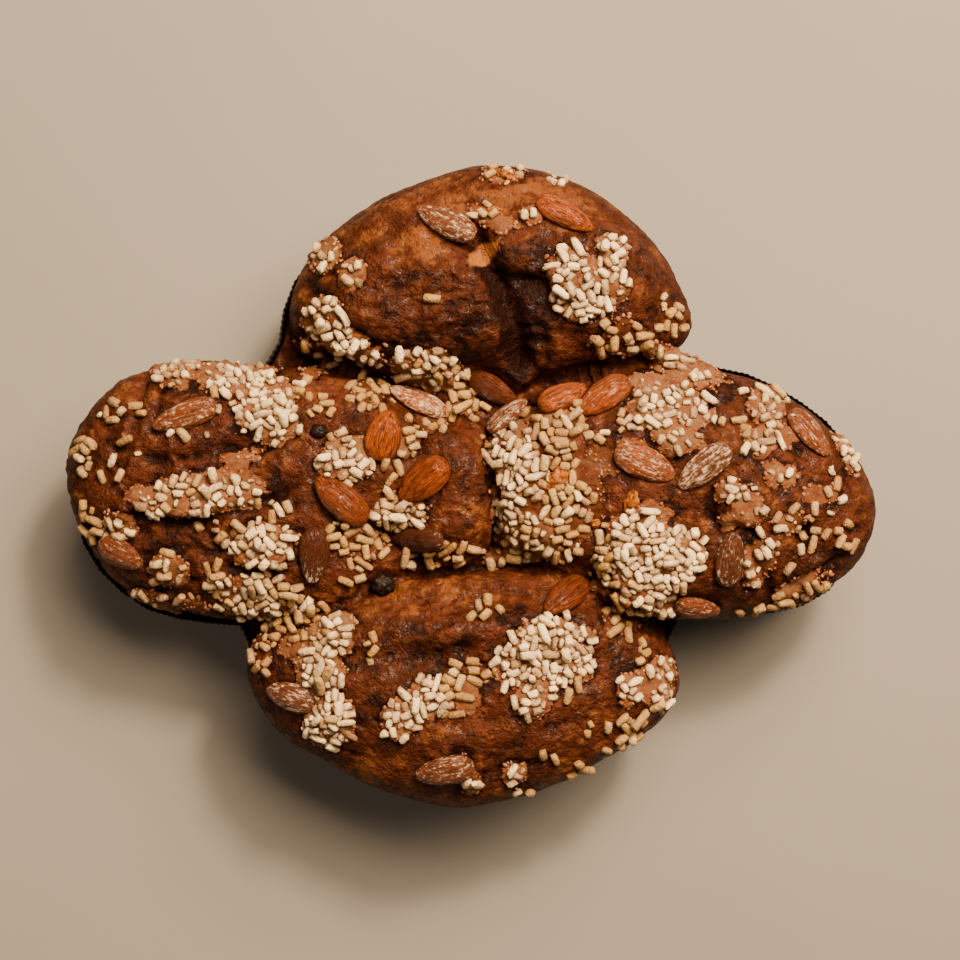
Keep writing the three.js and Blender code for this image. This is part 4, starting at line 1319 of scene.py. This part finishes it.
def almond_material():
    paint = colours()
    material, nodes, surface = new_material("Almond skin")
    place = nodes.place()
    skin = nodes.add("ShaderNodeAttribute", attribute_name="skin").outputs["Vector"]
    frost, dark = nodes.attribute("frost"), nodes.attribute("dark")
    veins = nodes.noise(skin, 0.0011, 4.0, 0.6, 0.3)
    broad = nodes.noise(skin, 0.0035, 3.0, 0.6)
    furrow = nodes.spread(veins, 0.30, 0.52)
    patchy = nodes.spread(broad, 0.40, 0.70, 0.0, 0.45)
    skin_colour = nodes.blend(furrow, paint.almond_dark, paint.almond)
    skin_colour = nodes.blend(patchy, skin_colour, paint.almond_dark)
    fine_veins = nodes.noise(skin, 0.0008, 3.0, 0.6, 0.4)
    lines = nodes.spread(nodes.math("ABSOLUTE", nodes.less(fine_veins, 0.5)), 0.055, 0.0)
    skin_colour = nodes.blend(nodes.times(lines, 0.42), skin_colour, VEINS)
    # Darker almonds: partly their own skin, partly painted shade where they lie in shade.
    skin_colour = nodes.blend(nodes.times(dark, 0.95), skin_colour, paint.almond_dark)
    dust = nodes.times(nodes.noise(place, 0.0017, 6.0, 0.70), 0.45)
    dust = nodes.plus(dust, nodes.times(nodes.noise(skin, 0.0010, 5.0, 0.7, 0.6), 0.55))
    sifted = nodes.plus(dust, nodes.times(nodes.less(frost, 0.5), 0.26))
    dusting = nodes.spread(sifted, 0.49, 0.61, 0.0, 0.92)
    dusting = nodes.times(dusting, nodes.spread(frost, 0.0, 0.15))
    dusting = nodes.math("MAXIMUM", dusting, nodes.times(frost, 0.045))
    nodes.feed(surface.inputs["Base Color"], nodes.blend(dusting, skin_colour, FROSTING))
    nodes.feed(surface.inputs["Roughness"], nodes.plus(nodes.times(dusting, 0.4), 0.30))
    surface.inputs["Specular IOR Level"].default_value = 0.05
    wet = nodes.spread(nodes.noise(place, 0.0026, 5.0, 0.75), 0.50, 0.62, 0.03, 0.70)
    wet = nodes.times(wet, nodes.less(1.0, nodes.times(dusting, 0.9)))
    nodes.feed(surface.inputs["Coat Weight"], wet)
    surface.inputs["Coat Roughness"].default_value = 0.12
    hairs = nodes.noise(skin, 0.0005, 4.0, 0.7)
    bumps = nodes.plus(veins, nodes.times(dusting, 0.35))
    bumps = nodes.plus(bumps, nodes.times(hairs, 0.4))
    bumps = nodes.less(bumps, nodes.times(lines, 0.45))
    nodes.bump(surface.inputs["Normal"], bumps, 1.0, 0.00055)
    ridges = nodes.less(nodes.plus(veins, nodes.times(hairs, 0.15)), nodes.times(lines, 0.5))
    nodes.bump(surface.inputs["Coat Normal"], ridges, 1.0, 0.0008)
    return material


def raisin_material():
    material, nodes, surface = new_material("Raisin")
    place = nodes.place()
    wrinkles = nodes.noise(place, 0.0016, 4.0, 0.6, 1.0)
    dust = nodes.noise(place, 0.0010, 5.0, 0.7)
    shade = nodes.blend(nodes.spread(wrinkles, 0.4, 0.7), colours().raisin, RAISIN_RIDGE)
    shade = nodes.blend(nodes.spread(dust, 0.64, 0.74, 0.0, 0.15), shade, RAISIN_BLOOM)
    nodes.feed(surface.inputs["Base Color"], shade)
    surface.inputs["Roughness"].default_value = 0.36
    surface.inputs["Specular IOR Level"].default_value = 0.14
    nodes.bump(surface.inputs["Normal"], wrinkles, 0.8, 0.0005)
    return material


def crumb_material():
    paint = colours()
    material, nodes, surface = new_material("Crumbs")
    place = nodes.place()
    shade = nodes.attribute("shade")
    height, flecks = fine_crumb(nodes, place, 0.0006)
    body = nodes.blend(nodes.spread(shade, 0.1, 0.6), BROWN_CRUMB, TAN_CRUMB)
    body = nodes.blend(nodes.spread(shade, 0.80, 0.98, 0.0, 0.45), body, paint.chalk)
    body = nodes.blend(nodes.times(flecks, 0.18), body, paint.chalk)
    nodes.feed(surface.inputs["Base Color"], body)
    surface.inputs["Roughness"].default_value = 0.7
    nodes.bump(surface.inputs["Normal"], height, 0.6, 0.0003)
    return material


def caramel_material():
    material, nodes, surface = new_material("Caramel")
    place = nodes.place()
    cloud = nodes.noise(place, 0.0016, 3.0)
    amber = nodes.blend(nodes.spread(cloud, 0.35, 0.65), DARK_CARAMEL, BRIGHT_CARAMEL)
    nodes.feed(surface.inputs["Base Color"], amber)
    nodes.feed(surface.inputs["Roughness"], nodes.spread(cloud, 0.3, 0.7, 0.30, 0.50))
    surface.inputs["Specular IOR Level"].default_value = 0.12
    nodes.bump(surface.inputs["Normal"], cloud, 0.5, 0.0004)
    return material


def paper_material():
    material, nodes, surface = new_material("Baking paper")
    place = nodes.place()
    fibres = nodes.noise(place, 0.0012, 5.0, 0.7)
    stains = nodes.noise(place, 0.014, 4.0, 0.6)
    paper = colours().paper
    shade = nodes.blend(nodes.spread(fibres, 0.35, 0.7), paper, [1.7 * part for part in paper])
    shade = nodes.blend(nodes.spread(stains, 0.5, 0.7, 0.0, 0.5), shade, BUTTER_STAIN)
    nodes.feed(surface.inputs["Base Color"], shade)
    nodes.feed(surface.inputs["Roughness"], nodes.spread(stains, 0.4, 0.7, 0.75, 0.5))
    nodes.bump(surface.inputs["Normal"], fibres, 0.3, 0.0002)
    return material


# ---- Operators -------------------------------------------------------------------------------------------


class COLOMBA_OT_crust(bpy.types.Operator):
    """Models the loaves grown together, with their folds, furrows and torn glaze"""

    bl_idname = "colomba.crust"
    bl_label = "Crust"

    def execute(self, context):
        skin = close_below(raised_dough())
        dress_crust(skin)
        tuck_into_mould(skin)
        skin.shade_smooth()
        crust = bpy.data.objects.new("crust", skin)
        context.scene.collection.objects.link(crust)
        finish_piece(crust, "crust", crust_material(), "cake")
        return {"FINISHED"}


class COLOMBA_OT_mould(bpy.types.Operator):
    """Folds the pleated paper mould round the dough"""

    bl_idname = "colomba.mould"
    bl_label = "Paper mould"

    def execute(self, context):
        finish_piece(make_mould(), "paper", paper_material(), "paper_mould")
        return {"FINISHED"}


class COLOMBA_OT_almonds(bpy.types.Operator):
    """Models the whole almonds, each with its own skin, ridges and dusting"""

    bl_idname = "colomba.almonds"
    bl_label = "Almonds"

    def execute(self, context):
        material = almond_material()
        for number, look in enumerate(ALMOND_LOOKS, 1):
            name = f"almond_{number:02d}"
            finish_piece(make_almond(name, look, number), "almond", material, name)
        return {"FINISHED"}


class COLOMBA_OT_raisins(bpy.types.Operator):
    """Models the two raisins that came through the crust"""

    bl_idname = "colomba.raisins"
    bl_label = "Raisins"

    def execute(self, context):
        material = raisin_material()
        for name in ("raisin_01", "raisin_02"):
            finish_piece(make_raisin(name), "raisin", material, name)
        return {"FINISHED"}


class COLOMBA_OT_sugar(bpy.types.Operator):
    """Scatters the pearl sugar, lets it settle on the crust, and coats its foot with glaze"""

    bl_idname = "colomba.sugar"
    bl_label = "Pearl sugar"

    def execute(self, context):
        rng = random.Random(sizes().seed)
        obstacles = Obstacles()
        settled = settle(scatter(obstacles, rng), obstacles)
        ends, radii, whites, _ = settled
        kept = ends[:, :, 2].max(axis=1) + radii < CAD_BOX[1][2] / MM + HEADROOM
        kept &= off_toppings(ends, obstacles)
        material = sugar_material()
        for name, chosen in (("sugar_chalk", whites > CHALKY), ("sugar_cream", whites <= CHALKY)):
            sugar = make_sugar(name, np.nonzero(chosen & kept)[0], settled, obstacles, rng)
            finish_piece(sugar, "crust", material, "cake")
        return {"FINISHED"}


class COLOMBA_OT_crumbs(bpy.types.Operator):
    """Sprinkles crumbs of glaze along its torn rims, and adds the bits of caramel"""

    bl_idname = "colomba.crumbs"
    bl_label = "Crumbs and caramel"

    def execute(self, context):
        rng = random.Random(sizes().seed + 1)
        finish_piece(make_crumbs(rng), "crust", crumb_material(), "cake")
        finish_piece(make_caramel(), "crust", caramel_material(), "cake")
        return {"FINISHED"}


class COLOMBA_OT_studio(bpy.types.Operator):
    """Lays the pale table, hangs the soft lights and sets up the camera"""

    bl_idname = "colomba.studio"
    bl_label = "Table, lights and camera"

    def execute(self, context):
        lay_table()
        hang_lights()
        place_camera(context)
        return {"FINISHED"}


# Soft lights, in metres: name, place, size, watts and tint.
LIGHTS = (
    ("window", (0.42, 0.66, 1.15), (1.05, 0.9), 60.0, (1.0, 0.79, 0.54)),
    ("sun patch", (0.50, 0.86, 1.30), (0.22, 0.22), 42.0, (1.0, 0.80, 0.56)),
    ("fill", (-0.9, -0.7, 0.9), (1.2, 1.2), 3.0, (1.0, 0.86, 0.70)),
)
LIT_PLACE = (0, 0, 0.04)  # they all face this place in the cake
SKY = (1.0, 0.86, 0.70, 1.0)
SKY_STRENGTH = 0.11
SENSOR = 36.0
SEEN_WIDTH = 0.4093 * 960  # millimetres of table from side to side of the picture
UNDER_LENS = (3.9, 1.7)  # the place right under the lens, in millimetres


def lay_table():
    bm = bmesh.new()
    bmesh.ops.create_grid(bm, x_segments=1, y_segments=1, size=3.0)
    table = mesh_object("table", bm)
    material, nodes, surface = new_material("Pale table")
    place = nodes.place()
    cloud = nodes.noise(place, 0.35, 3.0)
    pale = colours().table
    shade = nodes.blend(nodes.spread(cloud, 0.3, 0.7), pale, [0.94 * part for part in pale])
    nodes.feed(surface.inputs["Base Color"], shade)
    surface.inputs["Roughness"].default_value = 0.8
    table.data.materials.append(material)


def soft_light(name, place, size, watts, tint):
    data = bpy.data.lights.new(name, "AREA")
    data.shape = "RECTANGLE"
    data.size, data.size_y = size
    data.energy = watts
    data.color = tint
    lamp = bpy.data.objects.new(name, data)
    lamp.location = place
    lamp.rotation_euler = (Vector(LIT_PLACE) - Vector(place)).to_track_quat("-Z", "Y").to_euler()
    bpy.context.scene.collection.objects.link(lamp)


def hang_lights():
    for light in LIGHTS:
        soft_light(*light)
    world = bpy.context.scene.world or bpy.data.worlds.new("Studio")
    bpy.context.scene.world = world
    world.use_nodes = True
    background = world.node_tree.nodes["Background"]
    background.inputs["Color"].default_value = SKY
    background.inputs["Strength"].default_value = SKY_STRENGTH


def place_camera(context):
    """Straight down, as the cake is seen, through a long lens."""
    data = bpy.data.cameras.new("camera")
    data.sensor_width = SENSOR
    data.lens = SENSOR * sizes().camera_height / (SEEN_WIDTH * MM)
    camera = bpy.data.objects.new("camera", data)
    camera.location = (UNDER_LENS[0] * MM, UNDER_LENS[1] * MM, sizes().camera_height)
    context.scene.collection.objects.link(camera)
    context.scene.camera = camera


class COLOMBA_PT_panel(bpy.types.Panel):
    bl_idname = "COLOMBA_PT_panel"
    bl_label = "Colomba"
    bl_space_type = "VIEW_3D"
    bl_region_type = "UI"
    bl_category = "Colomba"

    def draw(self, context):
        for operator in OPERATORS:
            self.layout.operator(operator.bl_idname)
        for group in (context.scene.colomba_sizes, context.scene.colomba_colours):
            box = self.layout.box()
            for name in group.__annotations__:
                box.prop(group, name)


OPERATORS = (
    COLOMBA_OT_crust,
    COLOMBA_OT_mould,
    COLOMBA_OT_almonds,
    COLOMBA_OT_raisins,
    COLOMBA_OT_sugar,
    COLOMBA_OT_crumbs,
    COLOMBA_OT_studio,
)
CLASSES = (ColombaSizes, ColombaColours, *OPERATORS, COLOMBA_PT_panel)


def register():
    for cls in CLASSES:
        bpy.utils.register_class(cls)
    bpy.types.Scene.colomba_sizes = PointerProperty(type=ColombaSizes)
    bpy.types.Scene.colomba_colours = PointerProperty(type=ColombaColours)


def unregister():
    del bpy.types.Scene.colomba_colours
    del bpy.types.Scene.colomba_sizes
    for cls in reversed(CLASSES):
        bpy.utils.unregister_class(cls)


def main():
    register()
    bpy.ops.colomba.crust()
    bpy.ops.colomba.mould()
    bpy.ops.colomba.almonds()
    bpy.ops.colomba.raisins()
    bpy.ops.colomba.sugar()
    bpy.ops.colomba.crumbs()
    bpy.ops.colomba.studio()


if __name__ == "__main__":
    main()
